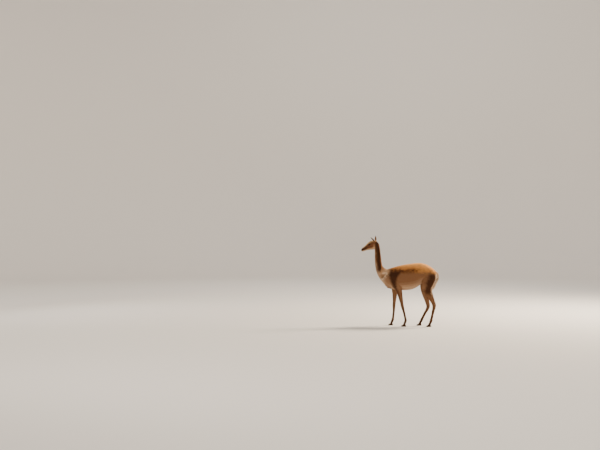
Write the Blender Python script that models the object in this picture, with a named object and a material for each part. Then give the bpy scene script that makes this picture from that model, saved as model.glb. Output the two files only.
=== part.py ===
"""A life-size vicuna standing in mid stride, in metres, +Z up and facing -Y.

The animal is shaped whole from lofted forms, and then parted by thin cuts
into head, neck, torso, tail, ears, eyes, twelve leg lengths and eight nails.
"""

import math
import random

import bmesh
import bpy
from mathutils import Matrix, Vector
from mathutils.bvhtree import BVHTree

for leftover in list(bpy.data.objects):
    bpy.data.objects.remove(leftover, do_unlink=True)

# Sizes of the whole animal

GAP = 0.0003
FORM_VOXEL = 0.0052
FORM_SMOOTH_PASSES = 4
HEAD_VOXEL = 0.0021
HEAD_SMOOTH_PASSES = 5
FOOT_VOXEL = 0.0024
FOOT_SMOOTH_PASSES = 2
BODY_FACES = 4000
HEAD_FACES = 2400
FOOT_FACES = 340
RING_POINTS = 28
SINK_BELOW_FLOOR = 0.004

# Torso, from the breast to the buttocks: place along Y, top, bottom, half width

TORSO = [
    (-0.352, 0.780, 0.700, 0.030),
    (-0.328, 0.818, 0.645, 0.060),
    (-0.272, 0.840, 0.582, 0.092),
    (-0.195, 0.864, 0.546, 0.116),
    (-0.100, 0.893, 0.534, 0.134),
    (0.000, 0.914, 0.532, 0.144),
    (0.090, 0.928, 0.543, 0.146),
    (0.170, 0.936, 0.576, 0.140),
    (0.240, 0.935, 0.626, 0.132),
    (0.320, 0.913, 0.632, 0.126),
    (0.395, 0.868, 0.640, 0.108),
    (0.440, 0.824, 0.672, 0.078),
    (0.468, 0.778, 0.715, 0.034),
]
TORSO_POWER = 2.15

# Neck, from inside the shoulders to inside the skull:
# Y, Z, half width, reach to the front, reach to the back

NECK = [
    (-0.240, 0.735, 0.085, 0.130, 0.085),
    (-0.318, 0.803, 0.067, 0.108, 0.058),
    (-0.364, 0.868, 0.053, 0.084, 0.038),
    (-0.389, 0.935, 0.045, 0.061, 0.043),
    (-0.401, 1.010, 0.041, 0.050, 0.046),
    (-0.407, 1.080, 0.038, 0.044, 0.043),
    (-0.412, 1.150, 0.036, 0.041, 0.040),
    (-0.424, 1.205, 0.036, 0.044, 0.040),
    (-0.440, 1.235, 0.030, 0.040, 0.030),
]
NECK_POWER = 2.0

# Fore leg, from the shoulder down: Z, distance from the middle plane,
# half width, reach to the front, reach to the back

FORE_LEG = [
    (0.745, 0.062, 0.046, 0.078, 0.070),
    (0.655, 0.076, 0.048, 0.072, 0.070),
    (0.575, 0.084, 0.042, 0.052, 0.058),
    (0.500, 0.087, 0.034, 0.038, 0.043),
    (0.420, 0.086, 0.027, 0.030, 0.032),
    (0.350, 0.086, 0.0225, 0.024, 0.024),
    (0.305, 0.086, 0.0235, 0.025, 0.022),
    (0.268, 0.086, 0.0195, 0.020, 0.020),
    (0.190, 0.086, 0.0155, 0.0165, 0.0170),
    (0.125, 0.086, 0.0160, 0.0160, 0.0165),
    (0.090, 0.086, 0.0195, 0.018, 0.0200),
    (0.056, 0.086, 0.0205, 0.016, 0.0170),
    (0.022, 0.086, 0.0220, 0.018, 0.0160),
]
FORE_NEAR_Y = [-0.210, -0.165, -0.112, -0.086, -0.067, -0.052, -0.042,
               -0.034, -0.014, 0.000, 0.005, -0.005, -0.016]
FORE_FAR_Y = [-0.225, -0.195, -0.163, -0.156, -0.158, -0.162, -0.164,
              -0.167, -0.172, -0.179, -0.184, -0.197, -0.209]

# Hind leg, from the hip down: distance from the middle plane, half width,
# reach to the front, reach to the back, then Y and Z of each leg in its pose

HIND_LEG = [
    (0.066, 0.050, 0.090, 0.086),
    (0.080, 0.060, 0.104, 0.098),
    (0.091, 0.056, 0.086, 0.088),
    (0.096, 0.045, 0.060, 0.066),
    (0.096, 0.034, 0.041, 0.048),
    (0.094, 0.0265, 0.030, 0.034),
    (0.092, 0.0265, 0.025, 0.032),
    (0.092, 0.0215, 0.022, 0.024),
    (0.092, 0.0172, 0.0185, 0.0190),
    (0.092, 0.0170, 0.0175, 0.0180),
    (0.092, 0.0205, 0.019, 0.0210),
    (0.092, 0.0215, 0.017, 0.0180),
    (0.092, 0.0230, 0.019, 0.0170),
]
HIND_NEAR = [(0.345, 0.800), (0.345, 0.705), (0.328, 0.612), (0.332, 0.528),
             (0.366, 0.445), (0.402, 0.370), (0.420, 0.318), (0.418, 0.270),
             (0.400, 0.195), (0.386, 0.128), (0.377, 0.090), (0.363, 0.054),
             (0.352, 0.022)]
HIND_FAR = [(0.340, 0.800), (0.330, 0.705), (0.305, 0.612), (0.292, 0.528),
            (0.304, 0.440), (0.326, 0.355), (0.338, 0.296), (0.328, 0.250),
            (0.292, 0.182), (0.261, 0.120), (0.245, 0.088), (0.227, 0.054),
            (0.215, 0.022)]
LEG_POWER = 2.0

# Feet: two toes, each a loft forward from the heel pad.
# Rows: forward of the ankle's foot, half width, top

TOE = [
    (-0.027, 0.0080, 0.018),
    (-0.019, 0.0120, 0.026),
    (-0.004, 0.0133, 0.033),
    (0.010, 0.0128, 0.031),
    (0.024, 0.0113, 0.025),
    (0.035, 0.0082, 0.018),
]
TOE_SPREAD = 0.0135
TOE_SPLAY = 0.10
TOE_POWER = 2.5
TOE_RING_POINTS = 20
ANKLE_OVERLAP = 0.02

# Nails: rows forward of the ankle's foot, half width, top, bottom

NAIL = [
    (0.017, 0.0068, 0.0255, 0.0090),
    (0.028, 0.0070, 0.0225, 0.0060),
    (0.039, 0.0054, 0.0155, 0.0035),
    (0.047, 0.0026, 0.0090, 0.0020),
]
NAIL_POWER = 2.2
NAIL_RING_POINTS = 10

# Head in its own frame: forward of the occiput, half width, top, bottom

HEAD = [
    (-0.012, 0.018, 0.010, -0.030),
    (0.008, 0.034, 0.032, -0.052),
    (0.035, 0.044, 0.048, -0.070),
    (0.065, 0.049, 0.056, -0.078),
    (0.098, 0.050, 0.056, -0.073),
    (0.130, 0.043, 0.048, -0.061),
    (0.160, 0.033, 0.036, -0.050),
    (0.190, 0.0265, 0.026, -0.043),
    (0.220, 0.0245, 0.019, -0.040),
    (0.243, 0.0240, 0.012, -0.037),
    (0.257, 0.0190, 0.003, -0.031),
    (0.264, 0.0100, -0.007, -0.022),
]
HEAD_POWER = 2.25
OCCIPUT = Vector((0.0, -0.4225, 1.2435))
HEAD_PITCH = math.radians(25.0)
HEAD_TURN = math.radians(-11.0)

EYE_RADIUS = 0.0185
EYE_FORWARD = 0.106
EYE_ACROSS = 0.0335
EYE_HEIGHT = 0.014
LID_THICKNESS = 0.0034
BROW_PLACE = (0.0275, 0.101, 0.0270)
BROW_RADIUS = 0.0170
EYE_OPENING_LENGTH = 0.0325
EYE_OPENING_HEIGHT = 0.0235
EYE_OPENING_TILT = math.radians(14.0)

# Ears: rows up the ear, half width across the cup, depth of the cup

EAR = [
    (-0.015, 0.0060, 0.0060),
    (0.000, 0.0112, 0.0095),
    (0.014, 0.0145, 0.0115),
    (0.030, 0.0180, 0.0130),
    (0.048, 0.0175, 0.0115),
    (0.066, 0.0138, 0.0085),
    (0.081, 0.0078, 0.0045),
    (0.092, 0.0026, 0.0014),
]
EAR_WALL = 0.0034
EAR_WALL_AT_TIP = 0.8
EAR_EDGE_SHARE = 0.4
EAR_ROOT_FULLNESS = 0.5
EAR_CUP_START = 2
EAR_CUP_ROWS = 3
EAR_HALF_POINTS = 8
EAR_INWARD_CURVE = 0.010
EAR_ROOT_INWARD = 0.012
EAR_FORWARD = 0.020
EAR_ACROSS = 0.0305
EAR_HEIGHT = 0.0185
EAR_OUTWARD = math.radians(14.0)
EAR_FACING_OUT = math.radians(38.0)
EAR_LEANS = {1: math.radians(12.0), -1: math.radians(-28.0)}
EAR_CUT_HEIGHT = 0.0235
EAR_BLEND = 0.85
EAR_ROOT_DROP = 0.003

# Tail, from inside the rump to the tip: Y, Z, half width, outer and inner reach

TAIL_RINGS = 16
TAIL = [
    (0.420, 0.800, 0.025, 0.020, 0.020),
    (0.446, 0.793, 0.028, 0.022, 0.022),
    (0.468, 0.770, 0.030, 0.019, 0.017),
    (0.478, 0.732, 0.031, 0.016, 0.012),
    (0.466, 0.685, 0.031, 0.015, 0.011),
    (0.446, 0.635, 0.029, 0.014, 0.011),
    (0.425, 0.588, 0.023, 0.012, 0.009),
    (0.405, 0.545, 0.011, 0.008, 0.006),
]

# Mouth, nose and lips, in the head's frame

MOUTH_CENTRE_FORWARD = 0.238
MOUTH_CORNER_FORWARD = 0.188
MOUTH_FRONT_HEIGHT = -0.0195
MOUTH_CORNER_HEIGHT = -0.0260
MOUTH_FRONT_SHARE = 0.42
MOUTH_GROOVE = 0.0017
MOUTH_STEPS = 14
MOUTH_RAY_START = 0.09
LIP_SPLIT = [(-0.0045, 0.0012), (-0.0110, 0.0013), (-0.0190, 0.0014)]
NOSTRIL_PLACE = (0.2470, 0.0010)
NOSTRIL_SIZE = (0.0080, 0.0042, 0.0027)
NOSTRIL_RAY_START = (0.080, 0.050, 0.030)
NOSTRIL_RAY_END = (0.004, -0.010, -0.004)
NOSTRIL_TURN = math.radians(-55)
NOSTRIL_TILT = math.radians(28)
LIP_RAY = (0.35, 0.10)

# Locks of long hair: half width, half thickness and height over the skin,
# each at even shares of the lock's length

LOCK_SECTIONS = [
    (0.60, 0.8, -0.0055),
    (0.95, 1.0, -0.0012),
    (1.00, 1.1, 0.0012),
    (0.85, 1.0, 0.0022),
    (0.50, 0.7, 0.0040),
    (0.08, 0.3, 0.0075),
]
LOCK_SIDES = 4
LOCK_HOLD = 0.75
LOCK_THICKNESS = 0.0030
LOCK_SCATTER = 0.1
LOCK_HEIGHT_SCATTER = 0.006
LOCK_WIDTH_SCATTER = 0.15
LOCK_FAN = 1.2
LOCK_WANDER = 0.12
LOCK_RAY_START = 0.9
BREAST_LOCK_ROWS = 4
BREAST_LOCKS_PER_ROW = 5
BREAST_LOCK_TOP = 0.785
BREAST_LOCK_BOTTOM = 0.640
BREAST_LOCK_REACH = 0.056
BREAST_LOCK_LENGTH = (0.092, 0.112)
BREAST_LOCK_WIDTH = 0.0150
TAIL_LOCK_ROWS = 5
TAIL_LOCKS_PER_ROW = 3
TAIL_LOCK_TOP = 0.765
TAIL_LOCK_BOTTOM = 0.628
TAIL_LOCK_REACH = 0.0185
TAIL_LOCK_LENGTH = (0.068, 0.084)
TAIL_LOCK_WIDTH = 0.0120
LOCK_SEED = 7

# Thin cuts that part the whole animal: centre, normal, radius

FORE_CUTS = [0.505, 0.275, 0.072]
HIND_CUTS = [0.560, 0.280, 0.072]
CUT_RADIUS = {"top": 0.085, "joint": 0.060, "foot": 0.050}
NECK_CUT = (Vector((0.0, -0.386, 0.905)), Vector((0.0, -0.20, 0.98)), 0.088)
BREAST_CUT = (Vector((0.0, -0.292, 0.715)), Vector((0.0, -0.97, 0.20)), 0.190)
HEAD_CUT = (Vector((0.0, -0.418, 1.158)), Vector((0.0, -0.42, 0.91)))
HEAD_CUT_OVERLAP = 0.03
PART_SPOTS = {"neck": Vector((0, -0.40, 1.03)), "breast": Vector((0, -0.38, 0.80)),
              "torso": Vector((0, 0.05, 0.75))}
PART_BOX_SLACK = 0.002


# Working with forms

def spline_rows(rows, steps):
    """Rows in between the given ones, on a smooth curve through them."""
    out = []
    last = len(rows) - 1
    for i in range(last):
        before = rows[max(i - 1, 0)]
        start, end = rows[i], rows[i + 1]
        after = rows[min(i + 2, last)]
        for k in range(steps):
            t = k / steps
            row = []
            for p0, p1, p2, p3 in zip(before, start, end, after):
                row.append(0.5 * (2 * p1 + (p2 - p0) * t
                                  + (2 * p0 - 5 * p1 + 4 * p2 - p3) * t ** 2
                                  + (3 * p1 - p0 - 3 * p2 + p3) * t ** 3))
            out.append(row)
    out.append(list(rows[-1]))
    return out


def new_object(name, mesh):
    thing = bpy.data.objects.new(name, mesh)
    bpy.context.scene.collection.objects.link(thing)
    return thing


def mesh_object(name, points, faces):
    """A closed mesh object with its faces turned outward."""
    mesh = bpy.data.meshes.new(name)
    mesh.from_pydata([tuple(p) for p in points], [], faces)
    form = bmesh.new()
    form.from_mesh(mesh)
    bmesh.ops.recalc_face_normals(form, faces=form.faces)
    form.to_mesh(mesh)
    form.free()
    return new_object(name, mesh)


def loft(name, rings):
    """A closed skin over rings that all have the same number of points."""
    count = len(rings[0])
    points = [p for ring in rings for p in ring]
    faces = []
    for r in range(len(rings) - 1):
        for i in range(count):
            j = (i + 1) % count
            faces.append((r * count + i, r * count + j,
                          (r + 1) * count + j, (r + 1) * count + i))
    faces.append(tuple(range(count)))
    top = (len(rings) - 1) * count
    faces.append(tuple(range(top + count - 1, top - 1, -1)))
    return mesh_object(name, points, faces)


def rounded_ring(centre, side, up, half_width, rise, drop, power, count=RING_POINTS):
    """A rounded ring whose reach differs above and below its centre."""
    ring = []
    for i in range(count):
        angle = 2 * math.pi * (i + 0.5) / count
        c, s = math.cos(angle), math.sin(angle)
        across = math.copysign(abs(c) ** (2 / power), c) * half_width
        along = math.copysign(abs(s) ** (2 / power), s) * (rise if s > 0 else drop)
        ring.append(centre + side * across + up * along)
    return ring


def tube(name, rows, up_hint, power, steps=4, count=RING_POINTS):
    """A loft square to its path: rows of X, Y, Z, half width, rise, drop."""
    rows = spline_rows(rows, steps)
    centres = [Vector(row[:3]) for row in rows]
    rings = []
    for i, row in enumerate(rows):
        ahead = centres[min(i + 1, len(rows) - 1)]
        behind = centres[max(i - 1, 0)]
        along = (ahead - behind).normalized()
        up = (up_hint - along * up_hint.dot(along)).normalized()
        side = up.cross(along)
        rings.append(rounded_ring(centres[i], side, up, row[3], row[4], row[5],
                                  power, count))
    return loft(name, rings)


def apply_modifiers(thing):
    """Make the result of an object's modifiers its own mesh."""
    graph = bpy.context.evaluated_depsgraph_get()
    mesh = bpy.data.meshes.new_from_object(thing.evaluated_get(graph))
    thing.modifiers.clear()
    old = thing.data
    thing.data = mesh
    bpy.data.meshes.remove(old)
    return thing


def in_triangles(thing):
    """Split each face along the same corners, so that a grown copy keeps its distance."""
    form = bmesh.new()
    form.from_mesh(thing.data)
    bmesh.ops.triangulate(form, faces=list(form.faces), quad_method="FIXED")
    form.to_mesh(thing.data)
    form.free()
    return thing


def drop_object(thing):
    mesh = thing.data
    bpy.data.objects.remove(thing, do_unlink=True)
    bpy.data.meshes.remove(mesh)


def joined(name, things, keep=False):
    """One object that holds the meshes of several."""
    form = bmesh.new()
    for thing in things:
        form.from_mesh(thing.data)
        if not keep:
            drop_object(thing)
    mesh = bpy.data.meshes.new(name)
    form.to_mesh(mesh)
    form.free()
    return new_object(name, mesh)


def fuse_and_smooth(thing, voxel, passes, faces):
    """Fuse overlapping forms into one soft skin with about that many faces."""
    remesh = thing.modifiers.new("fuse", "REMESH")
    remesh.mode = "VOXEL"
    remesh.voxel_size = voxel
    soften = thing.modifiers.new("soften", "SMOOTH")
    soften.factor = 0.5
    soften.iterations = passes
    apply_modifiers(thing)
    triangles = sum(len(p.vertices) - 2 for p in thing.data.polygons)
    thin = thing.modifiers.new("thin", "DECIMATE")
    thin.ratio = min(1.0, faces / triangles)
    return apply_modifiers(thing)


def boolean(thing, cutter, operation, solver="EXACT"):
    step = thing.modifiers.new("cut", "BOOLEAN")
    step.operation = operation
    step.object = cutter
    step.solver = solver
    return apply_modifiers(thing)


def keep_side(thing, centre, normal):
    """Keep the part of a closed mesh ahead of a plane, and close it there."""
    form = bmesh.new()
    form.from_mesh(thing.data)
    geometry = list(form.verts) + list(form.edges) + list(form.faces)
    cut = bmesh.ops.bisect_plane(form, geom=geometry, dist=1e-6, plane_co=centre,
                                 plane_no=normal, clear_inner=True)
    rim = [e for e in cut["geom_cut"] if isinstance(e, bmesh.types.BMEdge)]
    bmesh.ops.holes_fill(form, edges=rim, sides=0)
    bmesh.ops.triangulate(form, faces=[f for f in form.faces if len(f.verts) > 3])
    bmesh.ops.recalc_face_normals(form, faces=form.faces)
    form.to_mesh(thing.data)
    form.free()
    return thing


def disc(name, centre, normal, radius, thickness=GAP, count=32):
    """A thin round cutter square to a normal."""
    turn = normal.to_track_quat("Z", "Y").to_matrix()
    rings = []
    for height in (-thickness / 2, thickness / 2):
        ring = []
        for i in range(count):
            angle = 2 * math.pi * i / count
            spot = Vector((radius * math.cos(angle), radius * math.sin(angle), height))
            ring.append(centre + turn @ spot)
        rings.append(ring)
    return loft(name, rings)


def loose_parts(thing):
    """Each separate closed surface of a mesh, with the corners of its box."""
    form = bmesh.new()
    form.from_mesh(thing.data)
    form.verts.ensure_lookup_table()
    seen = set()
    parts = []
    for start in form.verts:
        if start.index in seen:
            continue
        group = []
        stack = [start]
        seen.add(start.index)
        while stack:
            vert = stack.pop()
            group.append(vert)
            for edge in vert.link_edges:
                other = edge.other_vert(vert)
                if other.index not in seen:
                    seen.add(other.index)
                    stack.append(other)
        low = Vector([min(v.co[k] for v in group) for k in range(3)])
        high = Vector([max(v.co[k] for v in group) for k in range(3)])
        group.sort(key=lambda v: v.index)
        index = {v.index: i for i, v in enumerate(group)}
        parts.append({"points": [v.co.copy() for v in group],
                      "faces": [tuple(index[v.index] for v in f.verts)
                                for f in form.faces if f.verts[0].index in index],
                      "low": low, "high": high})
    form.free()
    return parts


def tree_of(thing):
    form = bmesh.new()
    form.from_mesh(thing.data)
    tree = BVHTree.FromBMesh(form)
    form.free()
    return tree


def lock_form(tree, root, flow, length, half_width):
    """A flat tapered lock that starts in the skin, follows it, and runs free past its end."""
    rings = []
    step = length / (len(LOCK_SECTIONS) - 1)
    spot, normal, _, _ = tree.find_nearest(root)
    for width, thickness, height in LOCK_SECTIONS:
        along = (flow - normal * flow.dot(normal)).normalized()
        rings.append(rounded_ring(spot + normal * height, along.cross(normal), normal,
                                  half_width * width, LOCK_THICKNESS * thickness,
                                  LOCK_THICKNESS * thickness, 2.0, LOCK_SIDES))
        ahead = spot + along * step
        skin_spot, skin_normal, _, _ = tree.find_nearest(ahead)
        if (skin_spot - spot).length > step * LOCK_HOLD:
            spot, normal = skin_spot, skin_normal
        else:
            spot = ahead
    return loft("lock", rings)


def fuse_locks(thing, locks, solver="EXACT"):
    """Join locks to a body, and keep its one closed surface."""
    group = bpy.data.collections.new("locks")
    for lock in locks:
        group.objects.link(lock)
    step = thing.modifiers.new("locks", "BOOLEAN")
    step.operation = "UNION"
    step.operand_type = "COLLECTION"
    step.collection = group
    step.solver = solver
    apply_modifiers(thing)
    for lock in locks:
        drop_object(lock)
    bpy.data.collections.remove(group)
    return thing


def lock_rows(tree, rows, per_row, top, bottom, reach, lengths, half_width, start, aim, fall):
    """Staggered rows of locks over the skin that faces a starting plane."""
    chance = random.Random(LOCK_SEED)
    locks = []
    for row in range(rows):
        height = top + (bottom - top) * row / (rows - 1)
        for k in range(per_row):
            stagger = (row % 2 - 0.5) * reach / per_row
            across = (2 * k / (per_row - 1) - 1) * reach + stagger
            across += chance.uniform(-LOCK_SCATTER, LOCK_SCATTER) * reach / per_row
            height_here = height + chance.uniform(-LOCK_HEIGHT_SCATTER, LOCK_HEIGHT_SCATTER)
            hit = tree.ray_cast(Vector((across, start, height_here)), aim)[0]
            if hit is None:
                continue
            fan = across * LOCK_FAN + chance.uniform(-LOCK_WANDER, LOCK_WANDER)
            flow = (fall + Vector((fan, 0, 0))).normalized()
            length = chance.uniform(*lengths)
            width = half_width * chance.uniform(1 - LOCK_WIDTH_SCATTER, 1 + LOCK_WIDTH_SCATTER)
            locks.append(lock_form(tree, hit, flow, length, width))
    return locks


def breast_locks(body):
    return lock_rows(tree_of(body), BREAST_LOCK_ROWS, BREAST_LOCKS_PER_ROW,
                     BREAST_LOCK_TOP, BREAST_LOCK_BOTTOM, BREAST_LOCK_REACH,
                     BREAST_LOCK_LENGTH, BREAST_LOCK_WIDTH, -LOCK_RAY_START,
                     Vector((0, 1, 0)), Vector((0, 0.45, -1)))


def tail_locks(tail):
    return lock_rows(tree_of(tail), TAIL_LOCK_ROWS, TAIL_LOCKS_PER_ROW,
                     TAIL_LOCK_TOP, TAIL_LOCK_BOTTOM, TAIL_LOCK_REACH,
                     TAIL_LOCK_LENGTH, TAIL_LOCK_WIDTH, LOCK_RAY_START,
                     Vector((0, -1, 0)), Vector((0, -0.25, -1)))


# Forms of the body

def torso_form():
    rings = []
    for y, top, bottom, half_width in spline_rows(TORSO, 4):
        middle = (top + bottom) / 2
        reach = (top - bottom) / 2
        rings.append(rounded_ring(Vector((0, y, middle)), Vector((1, 0, 0)),
                                  Vector((0, 0, 1)), half_width, reach, reach, TORSO_POWER))
    return loft("torso_form", rings)


def neck_form():
    rows = [(0.0, y, z, width, front, back) for y, z, width, front, back in NECK]
    return tube("neck_form", rows, Vector((0, -1, 0)), NECK_POWER)


def leg_form(name, rows):
    return tube(name, rows, Vector((0, -1, 0)), LEG_POWER)


def fore_rows(side, places):
    return [(side * x, y, z, width, front, back)
            for (z, x, width, front, back), y in zip(FORE_LEG, places)]


def hind_rows(side, places):
    return [(side * x, y, z, width, front, back)
            for (x, width, front, back), (y, z) in zip(HIND_LEG, places)]


LEGS = {
    "fore_left": fore_rows(1, FORE_NEAR_Y),
    "fore_right": fore_rows(-1, FORE_FAR_Y),
    "hind_left": hind_rows(1, HIND_NEAR),
    "hind_right": hind_rows(-1, HIND_FAR),
}


def toe_frame(leg, side):
    """The middle of a toe at the floor and the way that it points."""
    x, y, z = LEGS[leg][-1][:3]
    splay = side * TOE_SPLAY
    ahead = Vector((math.sin(splay), -math.cos(splay), 0))
    across = Vector((math.cos(splay), math.sin(splay), 0))
    return Vector((x + side * TOE_SPREAD, y, 0)), ahead, across


def toe_form(leg, side):
    spot, ahead, across = toe_frame(leg, side)
    rings = []
    for forward, half_width, top in spline_rows(TOE, 3):
        middle = (top - SINK_BELOW_FLOOR) / 2
        reach = (top + SINK_BELOW_FLOOR) / 2
        centre = spot + ahead * forward + Vector((0, 0, middle))
        rings.append(rounded_ring(centre, across, Vector((0, 0, 1)), half_width,
                                  reach, reach, TOE_POWER, TOE_RING_POINTS))
    return loft("toe_form", rings)


def nail_form(name, leg, side, grow=0.0):
    spot, ahead, across = toe_frame(leg, side)
    rows = spline_rows(NAIL, 1)
    rings = []
    for i, (forward, half_width, top, bottom) in enumerate(rows):
        if i == 0:
            forward -= grow
        if i == len(rows) - 1:
            forward += grow
        middle = (top + bottom) / 2
        reach = (top - bottom) / 2 + grow
        centre = spot + ahead * forward + Vector((0, 0, middle))
        rings.append(rounded_ring(centre, across, Vector((0, 0, 1)), half_width + grow,
                                  reach, reach, NAIL_POWER, NAIL_RING_POINTS))
    return loft(name, rings)


def tail_form(name, grow=0.0):
    rows = [[0.0, y, z, width + grow, outer + grow, inner + grow]
            for y, z, width, outer, inner in TAIL]
    start, second = Vector(rows[0][:3]), Vector(rows[1][:3])
    rows[0][:3] = start - (second - start).normalized() * grow
    return in_triangles(tube(name, rows, Vector((0, 1, 0.4)), 2.0, steps=2, count=TAIL_RINGS))


# Head

HEAD_PLACE = (Matrix.Translation(OCCIPUT)
              @ Matrix.Rotation(HEAD_TURN, 4, "Z")
              @ Matrix.Rotation(HEAD_PITCH, 4, "X"))


def head_point(across, forward, height):
    return HEAD_PLACE @ Vector((across, -forward, height))


def head_form():
    rings = []
    for forward, half_width, top, bottom in spline_rows(HEAD, 4):
        middle = (top + bottom) / 2
        reach = (top - bottom) / 2
        rings.append(rounded_ring(Vector((0, -forward, middle)), Vector((1, 0, 0)),
                                  Vector((0, 0, 1)), half_width, reach, reach, HEAD_POWER))
    form = loft("head_form", rings)
    form.data.transform(HEAD_PLACE)
    return form


def ball(name, centre, radius, across=16, up=12):
    rings = []
    for k in range(1, up):
        lift = math.pi * k / up
        ring = []
        for i in range(across):
            angle = 2 * math.pi * i / across
            ring.append(Vector((radius * math.sin(lift) * math.cos(angle),
                                radius * math.sin(lift) * math.sin(angle),
                                radius * math.cos(lift))) + centre)
        rings.append(ring)
    points = [p for ring in rings for p in ring]
    faces = []
    for r in range(len(rings) - 1):
        for i in range(across):
            j = (i + 1) % across
            faces.append((r * across + i, r * across + j,
                          (r + 1) * across + j, (r + 1) * across + i))
    points.append(centre + Vector((0, 0, radius)))
    points.append(centre - Vector((0, 0, radius)))
    pole, foot = len(points) - 2, len(points) - 1
    low = (len(rings) - 1) * across
    for i in range(across):
        j = (i + 1) % across
        faces.append((pole, i, j))
        faces.append((foot, low + j, low + i))
    return mesh_object(name, points, faces)


def eye_centre(side):
    return head_point(side * EYE_ACROSS, EYE_FORWARD, EYE_HEIGHT)


def eye_opening(side):
    """An almond-shaped cutter that goes inward from the side of the head."""
    rings = []
    count = 24
    tilt = EYE_OPENING_TILT
    for reach in (EYE_ACROSS + 0.004, EYE_ACROSS + 0.030):
        ring = []
        for i in range(count):
            angle = 2 * math.pi * i / count
            along = math.cos(angle) * EYE_OPENING_LENGTH / 2
            narrow = 1 - 0.35 * abs(math.cos(angle)) ** 3
            rise = math.sin(angle) * EYE_OPENING_HEIGHT / 2 * narrow
            forward = along * math.cos(tilt) + rise * math.sin(tilt)
            height = rise * math.cos(tilt) - along * math.sin(tilt)
            ring.append(head_point(side * reach, EYE_FORWARD + forward, EYE_HEIGHT + height))
        rings.append(ring)
    return loft("eye_opening", rings)


def ear_place(side, lean):
    return (HEAD_PLACE
            @ Matrix.Translation((side * EAR_ACROSS, -EAR_FORWARD, EAR_HEIGHT))
            @ Matrix.Rotation(lean, 4, "X")
            @ Matrix.Rotation(side * EAR_OUTWARD, 4, "Y")
            @ Matrix.Rotation(side * EAR_FACING_OUT, 4, "Z"))


def ear_form(side, lean, size=1.0):
    """A pointed leaf whose front is cupped, with a solid root below the cup."""
    rows = spline_rows(EAR, 2)
    rings = []
    half = EAR_HALF_POINTS
    for i, (height, half_width, depth) in enumerate(rows):
        share = max(height, 0) / EAR[-1][0]
        deep_share = min(height, 0) / EAR[0][0]
        inward = -side * (EAR_INWARD_CURVE * share ** 2 + EAR_ROOT_INWARD * deep_share)
        cup = min(max((i - 2 * EAR_CUP_START + 1) / EAR_CUP_ROWS, 0), 1)
        outer, inner = [], []
        for k in range(half + 1):
            angle = math.pi * k / half
            outer.append((math.cos(angle) * half_width, math.sin(angle) * depth))
        wall = min(EAR_WALL, half_width * EAR_WALL_AT_TIP)
        for k in range(half - 1, 0, -1):
            angle = math.pi * k / half
            deep = math.sin(angle) * (depth - wall) if depth > wall else 0.0
            flat = -math.sin(angle) * depth * EAR_ROOT_FULLNESS
            inner.append((math.cos(angle) * (half_width - wall * EAR_EDGE_SHARE),
                          deep * cup + flat * (1 - cup)))
        ring = [Vector((x + inward, y, height)) for x, y in outer + inner]
        rings.append(ring)
    form = loft("ear_form", rings)
    form.data.transform(Matrix.Diagonal((size, size, 1.0, 1.0)))
    form.data.transform(ear_place(side, lean))
    return form


def ear_part(side, lean, above, size=1.0, offset=0.0):
    """The ear over its cut, or the root below it."""
    place = ear_place(side, lean)
    way = place.to_3x3() @ Vector((0, 0, 1 if above else -1))
    centre = place @ Vector((0, 0, EAR_CUT_HEIGHT))
    return keep_side(ear_form(side, lean, size), centre + way * (GAP / 2 + offset), way)


# The whole animal, fused and parted

def whole_body():
    forms = [torso_form(), neck_form(), head_form()]
    for leg, rows in LEGS.items():
        forms.append(leg_form(leg, rows))
        forms += [toe_form(leg, side) for side in (-1, 1)]
    body = joined("body", forms)
    fuse_and_smooth(body, FORM_VOXEL, FORM_SMOOTH_PASSES, BODY_FACES)
    return keep_side(body, Vector((0, 0, 0)), Vector((0, 0, 1)))


def fine_head():
    forms = [head_form(), neck_form()]
    for side in (-1, 1):
        forms.append(ball("lid_form", eye_centre(side), EYE_RADIUS + LID_THICKNESS))
        across, forward, height = BROW_PLACE
        forms.append(ball("brow_form", head_point(side * across, forward, height),
                          BROW_RADIUS))
        forms.append(ear_part(side, EAR_LEANS[side], False, EAR_BLEND, EAR_ROOT_DROP))
    head = joined("fine_head", forms)
    keep_side(head, HEAD_CUT[0] - HEAD_CUT[1] * HEAD_CUT_OVERLAP, HEAD_CUT[1])
    return fuse_and_smooth(head, HEAD_VOXEL, HEAD_SMOOTH_PASSES, HEAD_FACES)


def ray_point(tree, start, aim):
    hit = tree.ray_cast(start, (aim - start).normalized())
    return hit[0]


def mouth_cutter(tree):
    """A thin round groove from one corner of the mouth to the other."""
    rows = []
    for k in range(-MOUTH_STEPS, MOUTH_STEPS + 1):
        share = abs(k) / MOUTH_STEPS
        sign = 1 if k > 0 else -1
        if share > MOUTH_FRONT_SHARE:
            back = (share - MOUTH_FRONT_SHARE) / (1 - MOUTH_FRONT_SHARE)
            forward = (MOUTH_CENTRE_FORWARD
                       + (MOUTH_CORNER_FORWARD - MOUTH_CENTRE_FORWARD) * back)
            height = (MOUTH_FRONT_HEIGHT
                      + (MOUTH_CORNER_HEIGHT - MOUTH_FRONT_HEIGHT) * back)
            start = head_point(sign * MOUTH_RAY_START, forward, height)
            aim = head_point(0, forward, height)
        else:
            angle = sign * share / MOUTH_FRONT_SHARE * math.pi / 2
            start = head_point(MOUTH_RAY_START * math.sin(angle),
                               MOUTH_CENTRE_FORWARD + MOUTH_RAY_START * math.cos(angle),
                               MOUTH_FRONT_HEIGHT)
            aim = head_point(0, MOUTH_CENTRE_FORWARD, MOUTH_FRONT_HEIGHT)
        spot = ray_point(tree, start, aim)
        size = MOUTH_GROOVE * (1 - 0.5 * share ** 4)
        rows.append((*spot, size, size, size))
    return tube("mouth", rows, HEAD_PLACE.to_3x3() @ Vector((0, 0, 1)), 2.0, 1, 8)


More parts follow.
